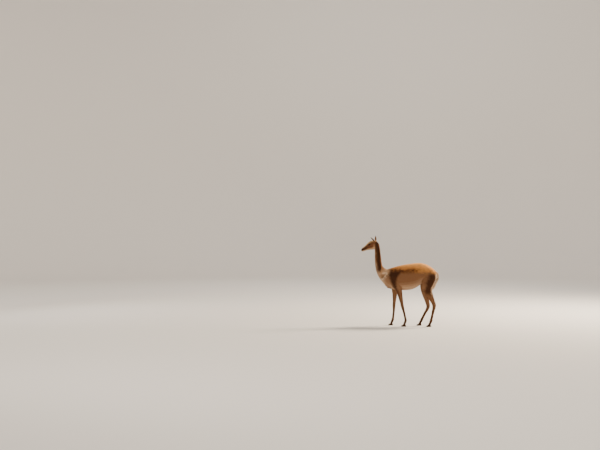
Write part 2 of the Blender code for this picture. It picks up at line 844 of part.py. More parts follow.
def lip_cutter(tree):
    """The split that runs from the nose to the middle of the upper lip."""
    rows = []
    for height, size in LIP_SPLIT:
        start, aim = (head_point(0, forward, height) for forward in LIP_RAY)
        spot = ray_point(tree, start, aim)
        rows.append((*spot, size, size, size))
    return tube("lip_split", rows, HEAD_PLACE.to_3x3() @ Vector((0, -1, 0)), 2.0, 2, 8)


def nostril_cutter(tree, side):
    """A short slanted slit sunk in the side of the nose."""
    forward, height = NOSTRIL_PLACE
    start, aim = (head_point(side * across, forward + ahead, height + above)
                  for across, ahead, above in (NOSTRIL_RAY_START, NOSTRIL_RAY_END))
    spot = ray_point(tree, start, aim)
    slit = ball("nostril", Vector((0, 0, 0)), 1.0, 12, 8)
    slit.data.transform(Matrix.Diagonal((*NOSTRIL_SIZE, 1.0)))
    slit.data.transform(HEAD_PLACE.to_3x3().to_4x4()
                        @ Matrix.Rotation(side * NOSTRIL_TURN, 4, "Z")
                        @ Matrix.Rotation(side * NOSTRIL_TILT, 4, "Y"))
    slit.data.transform(Matrix.Translation(spot))
    return slit


NODES = {}


def take(name, thing):
    thing.name = name
    thing.data.name = name
    NODES[name] = thing
    return thing


def part_at(parts, spot):
    """The smallest separate part whose box holds a point."""
    inside = [p for p in parts
              if all(p["low"][k] - PART_BOX_SLACK <= spot[k] <= p["high"][k] + PART_BOX_SLACK
                     for k in range(3))]
    return min(inside, key=lambda p: math.prod(p["high"] - p["low"]))


def take_part(name, parts, spot):
    part = part_at(parts, spot)
    return take(name, mesh_object(name, part["points"], part["faces"]))


def leg_spot(rows, level):
    """Where a leg's path crosses a height, and its way up there."""
    for upper, lower in zip(rows, rows[1:]):
        if upper[2] >= level >= lower[2]:
            share = (upper[2] - level) / (upper[2] - lower[2])
            top, foot = Vector(upper[:3]), Vector(lower[:3])
            return top.lerp(foot, share), (top - foot).normalized()


def cut_plane(rows, level):
    """The middle and the upward normal of a cut across a leg."""
    spot, way = leg_spot(rows, level)
    return spot, way.lerp(Vector((0, 0, 1)), 0.5).normalized()


def fine_foot(leg, rows, level):
    forms = [leg_form(leg, rows)]
    forms += [toe_form(leg, side) for side in (-1, 1)]
    foot = joined("foot", forms)
    spot, normal = cut_plane(rows, level)
    keep_side(foot, spot + normal * ANKLE_OVERLAP, -normal)
    fuse_and_smooth(foot, FOOT_VOXEL, FOOT_SMOOTH_PASSES, FOOT_FACES)
    keep_side(foot, spot - normal * GAP / 2, -normal)
    return keep_side(foot, Vector((0, 0, 0)), Vector((0, 0, 1)))


def make_body():
    body = whole_body()
    fuse_locks(body, breast_locks(body))
    half_gap = HEAD_CUT[1].normalized() * GAP / 2
    keep_side(body, HEAD_CUT[0] - half_gap, -HEAD_CUT[1])
    cutters = [disc("neck_cut", *NECK_CUT), disc("breast_cut", *BREAST_CUT)]
    for leg, rows in LEGS.items():
        levels = FORE_CUTS if leg.startswith("fore") else HIND_CUTS
        for level, kind in zip(levels, CUT_RADIUS):
            spot, normal = cut_plane(rows, level)
            cutters.append(disc(leg + "_" + kind, spot, normal, CUT_RADIUS[kind]))
    cutter = joined("cutters", cutters)
    boolean(body, cutter, "DIFFERENCE")
    drop_object(cutter)
    parts = loose_parts(body)
    drop_object(body)
    for name, spot in PART_SPOTS.items():
        take_part(name, parts, spot)
    torso = NODES["torso"]
    for leg, rows in LEGS.items():
        levels = FORE_CUTS if leg.startswith("fore") else HIND_CUTS
        take_part(leg + "_upper_leg", parts, leg_spot(rows, (levels[0] + levels[1]) / 2)[0])
        take_part(leg + "_lower_leg", parts, leg_spot(rows, (levels[1] + levels[2]) / 2)[0])
        foot = take(leg + "_foot", fine_foot(leg, rows, levels[2]))
        for side, place in ((-1, "right"), (1, "left")):
            room = nail_form("room", leg, side, GAP)
            boolean(foot, room, "DIFFERENCE")
            drop_object(room)
            take(leg + "_nail_" + place, nail_form("nail", leg, side))
    room = tail_form("room", GAP)
    boolean(torso, room, "DIFFERENCE")
    drop_object(room)
    tail = tail_form("tail")
    fuse_locks(tail, tail_locks(tail), "MANIFOLD")
    part = max(loose_parts(tail), key=lambda p: len(p["faces"]))
    drop_object(tail)
    take("tail", mesh_object("tail", part["points"], part["faces"]))


def make_head():
    head = fine_head()
    half_gap = HEAD_CUT[1].normalized() * GAP / 2
    keep_side(head, HEAD_CUT[0] + half_gap, HEAD_CUT[1])
    tree = tree_of(head)
    cutters = [mouth_cutter(tree), lip_cutter(tree)]
    for side in (-1, 1):
        cutters.append(nostril_cutter(tree, side))
        cutters.append(ball("socket", eye_centre(side), EYE_RADIUS + GAP))
        cutters.append(eye_opening(side))
    for cutter in cutters:
        boolean(head, cutter, "DIFFERENCE")
        drop_object(cutter)
    for side, name in ((1, "left"), (-1, "right")):
        root = ear_part(side, EAR_LEANS[side], False)
        boolean(head, root, "UNION")
        drop_object(root)
        take("ear_" + name, ear_part(side, EAR_LEANS[side], True))
        take("eye_" + name, ball("eye", eye_centre(side), EYE_RADIUS))
    take("head", head)


make_body()
make_head()

# Materials of the nodes

LOOKS = {
    "coat": ((0.50, 0.33, 0.19, 1), 0.9),
    "eye": ((0.02, 0.014, 0.01, 1), 0.1),
    "nail": ((0.06, 0.05, 0.045, 1), 0.45),
}


def material(name):
    colour, roughness = LOOKS[name]
    made = bpy.data.materials.new(name)
    made.use_nodes = True
    shader = made.node_tree.nodes["Principled BSDF"]
    shader.inputs["Base Color"].default_value = colour
    shader.inputs["Roughness"].default_value = roughness
    return made


made_materials = {name: material(name) for name in LOOKS}
for name, node in NODES.items():
    kind = "eye" if name.startswith("eye") else "nail" if "_nail_" in name else "coat"
    node.data.materials.clear()
    node.data.materials.append(made_materials[kind])

# The origin sits under the middle of the whole animal's box

corners = [v.co for node in NODES.values() for v in node.data.vertices]
low = Vector([min(c[k] for c in corners) for k in range(3)])
high = Vector([max(c[k] for c in corners) for k in range(3)])
shift = Vector((-(low.x + high.x) / 2, -(low.y + high.y) / 2, -low.z))
for node in NODES.values():
    node.data.transform(Matrix.Translation(shift))
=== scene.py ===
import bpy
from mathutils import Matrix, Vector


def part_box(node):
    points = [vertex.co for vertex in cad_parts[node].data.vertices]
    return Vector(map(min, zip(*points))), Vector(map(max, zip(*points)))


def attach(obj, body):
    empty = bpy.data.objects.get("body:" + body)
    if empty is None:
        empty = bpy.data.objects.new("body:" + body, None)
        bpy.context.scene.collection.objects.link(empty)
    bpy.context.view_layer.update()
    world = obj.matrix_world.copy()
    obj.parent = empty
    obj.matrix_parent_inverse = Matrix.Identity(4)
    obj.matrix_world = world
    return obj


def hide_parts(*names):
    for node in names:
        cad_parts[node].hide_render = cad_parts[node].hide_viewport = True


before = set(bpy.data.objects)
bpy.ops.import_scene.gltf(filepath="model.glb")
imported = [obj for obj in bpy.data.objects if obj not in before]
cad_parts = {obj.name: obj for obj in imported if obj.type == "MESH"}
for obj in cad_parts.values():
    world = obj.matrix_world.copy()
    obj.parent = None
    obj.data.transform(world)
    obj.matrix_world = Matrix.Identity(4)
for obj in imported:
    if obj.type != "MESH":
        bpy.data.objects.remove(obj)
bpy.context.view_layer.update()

import math

import bmesh
import bpy
import numpy as np
from mathutils import Matrix, Vector
from mathutils.bvhtree import BVHTree
from mathutils.kdtree import KDTree

# Places on the animal, in metres: +Z up, the nose towards -Y, the left side towards +X

BACK_SHIFT = 0.0789
OCCIPUT = Vector((-0.0001, -0.4225 + BACK_SHIFT, 1.2435))
HEAD_PITCH = math.radians(25.0)
HEAD_TURN = math.radians(-11.0)
HEAD_PLACE = (Matrix.Translation(OCCIPUT)
              @ Matrix.Rotation(HEAD_TURN, 4, "Z")
              @ Matrix.Rotation(HEAD_PITCH, 4, "X"))

EAR_SEAT = (0.0305, -0.020, 0.0185)
EAR_OUTWARD = math.radians(14.0)
EAR_FACING_OUT = math.radians(38.0)
EAR_LEANS = {1: math.radians(12.0), -1: math.radians(-28.0)}

NECK_PATH = [(0, -0.240, 0.735), (0, -0.318, 0.803), (0, -0.364, 0.868), (0, -0.389, 0.935),
             (0, -0.401, 1.010), (0, -0.412, 1.150), (0, -0.440, 1.235)]
TAIL_PATH = [(0, 0.446, 0.793), (0, 0.468, 0.770), (0, 0.478, 0.732), (0, 0.446, 0.635),
             (0, 0.405, 0.545)]
LEG_PATHS = {
    "fore_left": [(0.062, -0.210, 0.745), (0.084, -0.112, 0.575), (0.086, -0.067, 0.420),
                  (0.086, -0.042, 0.305), (0.086, -0.014, 0.190), (0.086, 0.005, 0.090),
                  (0.086, -0.016, 0.022)],
    "fore_right": [(-0.062, -0.225, 0.745), (-0.084, -0.163, 0.575), (-0.086, -0.158, 0.420),
                   (-0.086, -0.164, 0.305), (-0.086, -0.172, 0.190), (-0.086, -0.184, 0.090),
                   (-0.086, -0.209, 0.022)],
    "hind_left": [(0.066, 0.345, 0.800), (0.091, 0.328, 0.612), (0.096, 0.366, 0.445),
                  (0.092, 0.420, 0.318), (0.092, 0.400, 0.195), (0.092, 0.377, 0.090),
                  (0.092, 0.352, 0.022)],
    "hind_right": [(-0.066, 0.340, 0.800), (-0.091, 0.305, 0.612), (-0.094, 0.326, 0.355),
                   (-0.092, 0.338, 0.296), (-0.092, 0.292, 0.182), (-0.092, 0.245, 0.088),
                   (-0.092, 0.215, 0.022)],
}

# Each part of the coat: how far the skin is evened out, depth of the coat,
# length and width of a tuft, space between tufts, and space between the points
# that tufts gather to

COAT = {
    "torso": (0.0200, 0.0056, 0.0320, 0.0042, 0.0029, 0.012),
    "breast": (0.0220, 0.0066, 0.0360, 0.0042, 0.0031, 0.014),
    "neck": (0.0120, 0.0038, 0.0200, 0.0032, 0.0026, 0.009),
    "upper_leg": (0.0060, 0.0034, 0.0190, 0.0033, 0.0029, 0.009),
    "lower_leg": (0.0030, 0.0012, 0.0100, 0.0020, 0.0025, 0.006),
    "foot": (0.0020, 0.0008, 0.0065, 0.0016, 0.0024, 0.005),
    "tail": (0.0080, 0.0030, 0.0440, 0.0040, 0.0030, 0.012),
    "head": (0.0050, 0.0014, 0.0065, 0.0015, 0.0021, 0.005),
    "ear": (0.0038, 0.0004, 0.0050, 0.0011, 0.0018, 0.004),
}
PARTS = list(COAT)
SKIN_VOXEL = 0.0020
SKIN_TRIANGLES = 190000
SEAM_CLOSE = 0.0004
FINE_ABOVE = 1.10
SOLE_HEIGHT = (0.003, 0.014)
FACE_EVENING = 0.0020
FLOOR_CLEAR = 0.0003
MOST_PASSES = 260
LOCKS_SUNK = {"breast": 0.028, "tail": 0.016}
LEAST_LIFT = 0.0006
TAIL_SPLAY = 0.003
LIE_PASSES = 30
SIZE_PASSES = 12
REACH_PASSES = 20
LIE_DRIFT = (0.16, 0.045)
LIE_SCATTER = 0.09
SHORTEST = 0.35
MOST_MISFIT = 0.5
TUFTS_TRIED = 2.2
CELL_SHARE = 1.2
GATHER_SPACE = 0.004
ROOT_DEPTH = 0.0012
PATTERN_FACES = 8000
PATTERN_ANGLE = math.radians(66)
PATTERN_MARGIN = 0.004

# The least and most of what chance gives to a tuft

TUFT_LENGTHS = (0.72, 1.18)
TUFT_WIDTHS = (0.8, 1.2)
TUFT_SHADES = (0.94, 1.06)
MIDDLE_LIFTS = (0.50, 0.80)
TIP_LIFTS = (0.70, 1.15)
TAIL_LOOSE = (0.3, 0.8)
GATHER_PULLS = (0.12, 0.42)
COAT_SEED = 11

# Colours of the coat

SHADES = {
    # gold, amber and saddle: the coat's golden back, painted brightest on top as painted light from above
    # and darkening to painted shade in the band just above the border
    "gold": (236, 164, 86),
    "amber": (190, 124, 64),
    "saddle": (80, 45, 20),
    "cinnamon": (142, 92, 56),
    # dark: deep brown; where it lays the shoulder, thigh and neck marks and the leg fronts it is partly
    # painted shadow
    "dark": (54, 27, 11),
    # flank and belly: the pale underside painted darker, as painted shade on the side of the trunk
    "flank": (119, 83, 56),
    "belly": (134, 97, 68),
    "chest": (140, 105, 77),
    "cream": (228, 200, 168),
    "tan": (118, 81, 54),
    "shank": (70, 42, 23),
    "hoof_hair": (60, 39, 26),
    "throat": (124, 83, 51),
    "face": (104, 64, 40),
    "snout": (68, 40, 24),
    # brow: the pale shade for faces of the head turned up, partly painted light from above
    "lit_brow": (208, 168, 116),
    "poll": (156, 102, 58),
    "muzzle": (42, 27, 20),
    "jaw": (186, 150, 114),
    "ear_back": (104, 66, 38),
    # ear hollow: painted shade in the hollow of the ear, darker than the ear's back
    "shaded_ear_hollow": (56, 34, 22),
    "lid": (34, 24, 19),
}

# Dark marks of the coat on the left side, partly its own brown and partly painted shadow: heights, then
# the front and rear edge at each height, along Y before the shift

NECK_BAND = ([0.800, 0.855, 0.956, 1.056, 1.157, 1.217],
             [-0.412, -0.422, -0.424, -0.426, -0.440, -0.444],
             [-0.362, -0.356, -0.361, -0.366, -0.380, -0.392])
SHOULDER_PATCH = ([0.400, 0.468, 0.528, 0.588, 0.648, 0.708, 0.768, 0.800, 0.825],
                  [-0.098, -0.115, -0.142, -0.183, -0.211, -0.238, -0.250, -0.236, -0.206],
                  [-0.078, -0.091, -0.099, -0.133, -0.140, -0.126, -0.098, -0.080, -0.066])
THIGH_BAND = ([0.440, 0.468, 0.528, 0.588, 0.648, 0.708, 0.768, 0.800],
              [0.306, 0.302, 0.284, 0.296, 0.304, 0.334, 0.346, 0.364],
              [0.364, 0.370, 0.370, 0.384, 0.416, 0.444, 0.438, 0.428])
BORDER_PLACES = [-0.250, -0.070, 0.080, 0.230, 0.380, 0.470]
BORDER_HEIGHTS = [0.804, 0.796, 0.800, 0.812, 0.798, 0.750]

# Locks at the foot of the neck: from, to, half width, colour and how strong

STROKES = [
    ((-0.350, 0.694), (-0.272, 0.782), 0.0080, "cream", 0.60),
    ((-0.330, 0.789), (-0.282, 0.792), 0.0110, "cream", 0.48),
    ((-0.318, 0.700), (-0.250, 0.760), 0.0060, "cream", 0.30),
    ((-0.345, 0.716), (-0.288, 0.780), 0.0050, "saddle", 0.65),
    ((-0.268, 0.742), (-0.205, 0.770), 0.0120, "saddle", 0.45),
]
STREAK_WAY = (0.41, 0.91)
STREAK_WIDTH = 0.008
STREAK_LENGTH = 0.045
STREAK_SEED = 14
NOSTRIL = (Vector((0.0080, -0.2560, -0.0020)), Vector((0.0170, -0.2400, 0.0060)))


def linear(shade):
    """A colour of 0 to 255 as the amounts of light that it stands for."""
    share = np.array(shade) / 255
    return np.where(share < 0.04045, share / 12.92, ((share + 0.055) / 1.055) ** 2.4)


SHADE = {name: linear(shade) for name, shade in SHADES.items()}


# The eye's opening

OPENING_LENGTH = 0.0325
OPENING_HEIGHT = 0.0235
OPENING_TILT = math.radians(14.0)
EYE_SEAT_FORWARD = 0.106
EYE_SEAT_HEIGHT = 0.014


# Numbers over many points at once

def rise(value, low, high):
    """0 below one value, 1 above another, and a soft step between."""
    share = np.clip((value - low) / (high - low), 0, 1)
    return share * share * (3 - 2 * share)


def blend(under, over, share):
    return under + (over - under) * share[:, None]


def plain(shade, count):
    return np.tile(SHADE[shade], (count, 1))


def lay(colour, shade, share):
    """Some of a named shade laid over the colours of many points."""
    return blend(colour, SHADE[shade], share)


def unit(vectors):
    return vectors / np.maximum(np.linalg.norm(vectors, axis=1), 1e-9)[:, None]


def mottle(points, size, seed):
    """Soft random values from -1 to 1 over space."""
    count = 32
    table = np.random.default_rng(seed).uniform(-1, 1, (count,) * 3)
    place = points / size
    base = np.floor(place).astype(int)
    share = place - base
    share = share * share * (3 - 2 * share)
    value = np.zeros(len(points))
    for corner in np.ndindex(2, 2, 2):
        at = (base + corner) % count
        weight = np.prod(np.where(np.array(corner) == 1, share, 1 - share), axis=1)
        value += table[at[:, 0], at[:, 1], at[:, 2]] * weight
    return value


def in_head(points):
    """Points in the head's own frame: across, back, up from the occiput."""
    turn = np.array(HEAD_PLACE.inverted())
    return points @ turn[:3, :3].T + turn[:3, 3]


def past_jaw(points):
    """How far points lie ahead of the line from the ears down to the throat."""
    head = in_head(points)
    line = 0.5 * head[:, 2] - head[:, 1] - 0.035
    return np.minimum(line, (head[:, 2] + 0.080) * 4)


def off_line(spots, start, end):
    """How far points are from the straight line between two others."""
    start, way = np.array(start), np.array(end) - np.array(start)
    along = np.clip((spots - start) @ way / (way @ way), 0, 1)
    return np.linalg.norm(spots - start - along[:, None] * way, axis=1)


def nostril_distance(head):
    """How far points of the head's frame are from the nearer nostril's slit."""
    folded = np.stack([np.abs(head[:, 0]), head[:, 1], head[:, 2]], axis=1)
    return off_line(folded, *NOSTRIL)


def lip_distance(head):
    """How far points of the head's frame are above or below the line of the mouth."""
    return np.abs(head[:, 2] + 0.0195 + (0.238 + head[:, 1]) * 0.13)


def lip_split_distance(head):
    """How far points of the front of the lip are from its middle split."""
    off = np.abs(head[:, 0]) + 0.02 * rise(head[:, 1], -0.248, -0.240)
    return off + 0.02 * rise(head[:, 2], -0.004, 0.000) + 0.02 * rise(-head[:, 2], 0.020, 0.023)


def past_lids(head):
    """How far points lie out from the middle of the eye: 1 at the edge of the opening."""
    forward, height = -head[:, 1] - EYE_SEAT_FORWARD, head[:, 2] - EYE_SEAT_HEIGHT
    along = forward * math.cos(OPENING_TILT) - height * math.sin(OPENING_TILT)
    lift = forward * math.sin(OPENING_TILT) + height * math.cos(OPENING_TILT)
    out = np.hypot(along / OPENING_LENGTH, lift / OPENING_HEIGHT) * 2
    return out + 4 * rise(-np.abs(head[:, 0]), -0.026, -0.018)


def path_back(path, heights):
    """How far back a path lies at each height."""
    rows = sorted((z, y + BACK_SHIFT) for _, y, z in path)
    return np.interp(heights, [r[0] for r in rows], [r[1] for r in rows])


def path_way(path, heights):
    """The way down a path at each height."""
    rows = sorted(path, key=lambda row: row[2])
    levels = [(a[2] + b[2]) / 2 for a, b in zip(rows, rows[1:])]
    ways = [Vector(a) - Vector(b) for a, b in zip(rows, rows[1:])]
    ways = [way.normalized() for way in ways]
    return np.stack([np.interp(heights, levels, [w[k] for w in ways]) for k in range(3)], axis=1)


def ear_place(side):
    across, back, up = EAR_SEAT
    return (HEAD_PLACE
            @ Matrix.Translation((side * across, back, up))
            @ Matrix.Rotation(EAR_LEANS[side], 4, "X")
            @ Matrix.Rotation(side * EAR_OUTWARD, 4, "Y")
            @ Matrix.Rotation(side * EAR_FACING_OUT, 4, "Z"))


# The skin

FLESH = ["torso", "breast", "neck", "head", "ear_left", "ear_right", "tail"]
for leg in LEG_PATHS:
    FLESH += [leg + "_upper_leg", leg + "_lower_leg", leg + "_foot"]


def part_of(node):
    return next(part for part in PARTS if part in node)


def node_form(node, grow):
    """A solid's mesh, joined at its corners and pushed out a little."""
    form = bmesh.new()
    form.from_mesh(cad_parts[node].data)
    bmesh.ops.remove_doubles(form, verts=form.verts, dist=1e-6)
    form.normal_update()
    for corner in form.verts:
        corner.co += corner.normal * grow
    return form


def mesh_of(name, form):
    mesh = bpy.data.meshes.new(name)
    form.to_mesh(mesh)
    form.free()
    return mesh


def smooth(mesh):
    for face in mesh.polygons:
        face.use_smooth = True
    return mesh


def linked(name, mesh):
    thing = bpy.data.objects.new(name, mesh)
    bpy.context.scene.collection.objects.link(thing)
    return thing


def settled(thing):
    """Make the result of an object's modifiers its own mesh."""
    graph = bpy.context.evaluated_depsgraph_get()
    mesh = bpy.data.meshes.new_from_object(thing.evaluated_get(graph))
    thing.modifiers.clear()
    thing.data = mesh
    return thing


def fused_flesh():
    """All the solids of flesh as one fine mesh, thinned below the head."""
    whole = bmesh.new()
    for node in FLESH:
        whole.from_mesh(mesh_of(node, node_form(node, SEAM_CLOSE)))
    skin = linked("skin", mesh_of("skin", whole))
    fuse = skin.modifiers.new("fuse", "REMESH")
    fuse.mode = "VOXEL"
    fuse.voxel_size = SKIN_VOXEL
    settled(skin)
    places = corners_of(skin.data)
    group = skin.vertex_groups.new(name="coarse")
    group.add([int(i) for i in np.nonzero(places[:, 2] < FINE_ABOVE)[0]], 1.0, "REPLACE")
    thin = skin.modifiers.new("thin", "DECIMATE")
    thin.ratio = SKIN_TRIANGLES / (2 * len(skin.data.polygons))
    thin.vertex_group = "coarse"
    thin.use_collapse_triangulate = True
    settled(skin)
    skin.vertex_groups.clear()
    return drop_specks(skin)


def drop_specks(thing):
    """Keep only the one large surface."""
    form = bmesh.new()
    form.from_mesh(thing.data)
    form.verts.ensure_lookup_table()
    seen = np.zeros(len(form.verts), bool)
    groups = []
    for start in form.verts:
        if seen[start.index]:
            continue
        group = [start]
        seen[start.index] = True
        for corner in group:
            for edge in corner.link_edges:
                other = edge.other_vert(corner)
                if not seen[other.index]:
                    seen[other.index] = True
                    group.append(other)
        groups.append(group)
    groups.sort(key=len)
    for group in groups[:-1]:
        bmesh.ops.delete(form, geom=group, context="VERTS")
    form.to_mesh(thing.data)
    form.free()
    return thing


def rows_of(items, field, width, kind=float):
    """One field of a mesh's items, as the rows of an array."""
    values = np.empty(len(items) * width, kind)
    items.foreach_get(field, values)
    return values.reshape(-1, width)


def corners_of(mesh):
    return rows_of(mesh.vertices, "co", 3)


def normals_of(mesh):
    return rows_of(mesh.vertices, "normal", 3)


def triangles_of(mesh):
    mesh.calc_loop_triangles()
    return rows_of(mesh.loop_triangles, "vertices", 3, int)


def links_of(edges, count):
    """How many edges meet at each corner."""
    return np.maximum(np.bincount(edges.ravel(), minlength=count), 1)


def softened(values, edges, passes, swell=0.0):
    """Values evened out over the skin, in as many passes as each corner asks."""
    count = len(values)
    first, second = edges[:, 0], edges[:, 1]
    links = links_of(edges, count)
    values = values.copy()
    for turn in range(int(np.max(passes))):
        step = -swell if swell and turn % 2 else 0.5
        share = np.where(passes > turn, step, 0.0)
        for k in range(values.shape[1]):
            column = values[:, k]
            total = (np.bincount(first, column[second], count)
                     + np.bincount(second, column[first], count))
            values[:, k] = column + share * (total / links - column)
    return values


def passes_for(reach, places, edges):
    """Passes that even the skin out over some reach, whatever its edges' length."""
    count = len(places)
    length = np.linalg.norm(places[edges[:, 0]] - places[edges[:, 1]], axis=1)
    total = np.bincount(edges[:, 0], length, count) + np.bincount(edges[:, 1], length, count)
    mean = total / links_of(edges, count)
    return np.minimum(2 * np.round(2 * (reach / mean) ** 2), MOST_PASSES)


def nearest_parts(places):
    """Which node of flesh each point is on."""
    points, faces, owners = [], [], []
    for node in FLESH:
        form = node_form(node, 0)
        start = len(points)
        points += [corner.co.copy() for corner in form.verts]
        for face in form.faces:
            faces.append([start + corner.index for corner in face.verts])
            owners.append(FLESH.index(node))
        form.free()
    tree = BVHTree.FromPolygons(points, faces)
    return np.array([owners[tree.find_nearest(place)[2]] for place in places])


def eye_seats():
    """The middle and radius of each eyeball."""
    seats = {}
    for side, node in ((1, "eye_left"), (-1, "eye_right")):
        low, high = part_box(node)
        seats[side] = ((low + high) / 2, (high.z - low.z) / 2)
    return seats


EYES = eye_seats()


def lie_of_coat(places, nodes):
    """The way that the hair points on each node, before it is evened out."""
    ways = np.zeros_like(places)
    turn = np.array(HEAD_PLACE)[:3, :3]
    for index, node in enumerate(FLESH):
        here = nodes == index
        heights = places[here, 2]
        if node == "torso":
            ways[here] = (0, 1, -0.45)
        elif node == "breast":
            under = rise(-heights, -0.690, -0.600)
            ways[here] = blend(np.tile((0.0, 0.45, -1.0), (here.sum(), 1)), np.array((0, 1, -0.2)), under)
        elif node == "neck":
            ways[here] = path_way(NECK_PATH, heights)
        elif node == "tail":
            ways[here] = path_way(TAIL_PATH, heights)
        elif node == "head":
            ways[here] = blend(path_way(NECK_PATH, heights), turn @ np.array((0, 1, 0.12)),
                               rise(past_jaw(places[here]), -0.030, 0.040))
        elif node.startswith("ear"):
            ways[here] = np.array(ear_place(1 if node == "ear_left" else -1))[:3, 2]
        else:
            leg = next(leg for leg in LEG_PATHS if node.startswith(leg))
            ways[here] = path_way(LEG_PATHS[leg], heights)
        if node.endswith("foot"):
            ways[here] += (0, -0.8, 0)
    return unit(ways)


def make_skin():
    """The skin under the coat, with what the coat needs to know at each corner."""
    skin = fused_flesh()
    places = corners_of(skin.data)
    edges = rows_of(skin.data.edges, "vertices", 2, int)
    nodes = nearest_parts(places)
    parts = np.array([PARTS.index(part_of(node)) for node in FLESH])[nodes]
    sizes = np.array([COAT[part] for part in PARTS])[parts]
    head = in_head(places)
    forward = -head[:, 1]
    joint = np.isin(parts, (PARTS.index("head"), PARTS.index("neck")))
    ahead = rise(past_jaw(places), -0.020, 0.050)[joint]
    sizes[joint] = blend(np.tile(COAT["neck"], (joint.sum(), 1)), np.array(COAT["head"]), ahead)
    on_head = parts == PARTS.index("head")
    lid_share = past_lids(head)
    fine = on_head & ((lid_share < 1.9) | (forward > 0.175))
    sizes[fine, 0] = FACE_EVENING
    reach = np.array([LOCKS_SUNK.get(part, 0.0) for part in PARTS])[parts]
    reach = softened(reach[:, None], edges, np.full(len(places), REACH_PASSES))[:, 0]
    places = softened(places, edges, passes_for(reach, places, edges))
    places = softened(places, edges, passes_for(sizes[:, 0], places, edges), swell=0.51)
    head = in_head(places)
    snout = rise(forward, 0.14, 0.20) * on_head
    sizes[:, 2:4] *= (1 - 0.35 * snout)[:, None]
    sizes = softened(sizes[:, 1:], edges, np.full(len(places), SIZE_PASSES))
    lie = softened(lie_of_coat(places, nodes), edges, np.full(len(places), LIE_PASSES))
    skin.data.vertices.foreach_set("co", places.ravel())
    skin.data.update()
    normals = normals_of(skin.data)
    depth = sizes[:, 0] * rise(places[:, 2], *SOLE_HEIGHT)
    depth *= np.where(on_head, 0.25 + 0.75 * rise(lid_share, 1.05, 1.8), 1)
    depth *= 1 - 0.9 * under_tail(places, normals, nodes)
    nostril = nostril_distance(head)
    split = lip_split_distance(head)
    dent = 0.0036 * rise(-nostril, -0.0034, -0.0008) + 0.0016 * rise(-split, -0.0024, -0.0004)
    places = places - normals * (depth + dent * on_head)[:, None]
    places[:, 2] = np.maximum(places[:, 2], FLOOR_CLEAR)
    skin.data.vertices.foreach_set("co", places.ravel())
    skin.data.update()
    smooth(skin.data)
    bare = on_head * np.maximum(rise(-nostril, -0.0052, -0.0030), rise(-split, -0.0030, -0.0018))
    bare = np.maximum(bare, on_head * rise(-lid_share, -1.16, -1.04))
    bare = np.maximum(bare, rise(-places[:, 2], -0.004, -0.002))
    return {"thing": skin, "places": places, "normals": normals_of(skin.data),
            "triangles": triangles_of(skin.data), "nodes": nodes, "parts": parts,
            "sizes": sizes, "depth": depth, "lie": lie, "bare": bare}


def under_tail(places, normals, nodes):
    """The inner side of the tail and the rump behind it, which touch."""
    x, y = places[:, 0], places[:, 1] - BACK_SHIFT
    names = np.array(FLESH)[nodes]
    inner = (names == "tail") * rise(-normals[:, 1], -0.3, 0.3)
    rump = (names == "torso") * rise(y, 0.425, 0.450) * rise(-np.abs(x), -0.055, -0.030)
    return np.maximum(inner, rump)


# Markings, with painted light and shade laid into some of them

def along_with(places, leg):
    """How far back points lie, before the shift, on the left leg of the pair."""
    y, z = places[:, 1] - BACK_SHIFT, places[:, 2]
    if leg:
        y = y - (path_back(LEG_PATHS[leg], z) - path_back(LEG_PATHS[leg[:4] + "_left"], z))
    return y


def band(places, marks, leg, soften, uneven):
    """How much of each point lies in a dark mark, partly painted shadow, moved along with its leg."""
    heights, front, rear = marks
    y, z = along_with(places, leg) + uneven, places[:, 2]
    front_edge, rear_edge = np.interp(z, heights, front), np.interp(z, heights, rear)
    return (rise(y, front_edge - soften[0], front_edge + soften[0])
            * rise(-y, -rear_edge - soften[1], -rear_edge + soften[1]))


def streaks(places):
    """Soft random values drawn out along the lie of the trunk's coat."""
    x, y, z = places.T
    slope, level = STREAK_WAY
    along = (y * level - z * slope) * STREAK_WIDTH / STREAK_LENGTH
    return mottle(np.stack([x, y * slope + z * level, along], axis=1), STREAK_WIDTH, STREAK_SEED)


def trunk_colour(places, facing):
    """Golden back, brown border, pale flank and breast, with light and shade painted in: the back painted
    brightest on top as if lit from above, amber lower down and painted shade in the brown band above the
    border, the flank and belly painted darker as shade, and a pale rump edge that is partly painted rim
    light.
    """
    y, z = places[:, 1] - BACK_SHIFT, places[:, 2]
    soft = mottle(places, 0.060, 3)
    small = mottle(places, 0.018, 4)
    brush = streaks(places)
    border = np.interp(y, BORDER_PLACES, BORDER_HEIGHTS)
    rump = rise(y, 0.08, 0.26)
    border = border + (0.007 + 0.010 * rump) * soft + (0.006 + 0.010 * rump) * small
    border = border + 0.010 * brush
    over = z - border
    # Painted light and shade: gold on top, amber lower down, and a band of painted shade (saddle) just
    # above the border
    colour = lay(plain("gold", len(places)), "amber", rise(-over, -0.125, -0.050) * (1 - 0.55 * rump))
    colour = lay(colour, "saddle",
                 rise(-over, -0.068, -0.028) * (1.0 - 0.55 * rump) * (0.86 + 0.24 * small))
    # Flank and belly: their own pale colour painted darker, as painted shade
    colour = lay(colour, "flank", rise(-over, -0.014, 0.036))
    colour = lay(colour, "belly", rise(-z, -0.660, -0.560))
    front = rise(-y, 0.15, 0.28)
    colour = lay(colour, "chest", front * rise(-z, -0.86, -0.70) * 0.85)
    colour = lay(colour, "jaw", rise(-y, 0.20, 0.27) * rise(z, 0.74, 0.80) * 0.80)
    colour = lay(colour, "cream", rise(-facing[:, 2], 0.15, 0.85) * 0.30)
    colour = lay(colour, "cream", rise(-facing[:, 1], 0.35, 0.85) * rise(-y, 0.24, 0.32) * 0.42)
    # Pale rear of the rump: partly the coat's own pale hair, partly painted rim light
    rear = rise(y, 0.43, 0.47) * rise(z, 0.60, 0.68) * rise(-z, -0.800, -0.745)
    colour = lay(colour, "cream", rear * 0.6)
    for start, end, half, shade, amount in STROKES:
        off = off_line(places[:, 1:] - (BACK_SHIFT, 0), start, end) + 0.006 * small
        colour = lay(colour, shade, rise(-off, -1.7 * half, -0.5 * half) * amount)
    return shoulder_and_thigh(colour, places, facing)


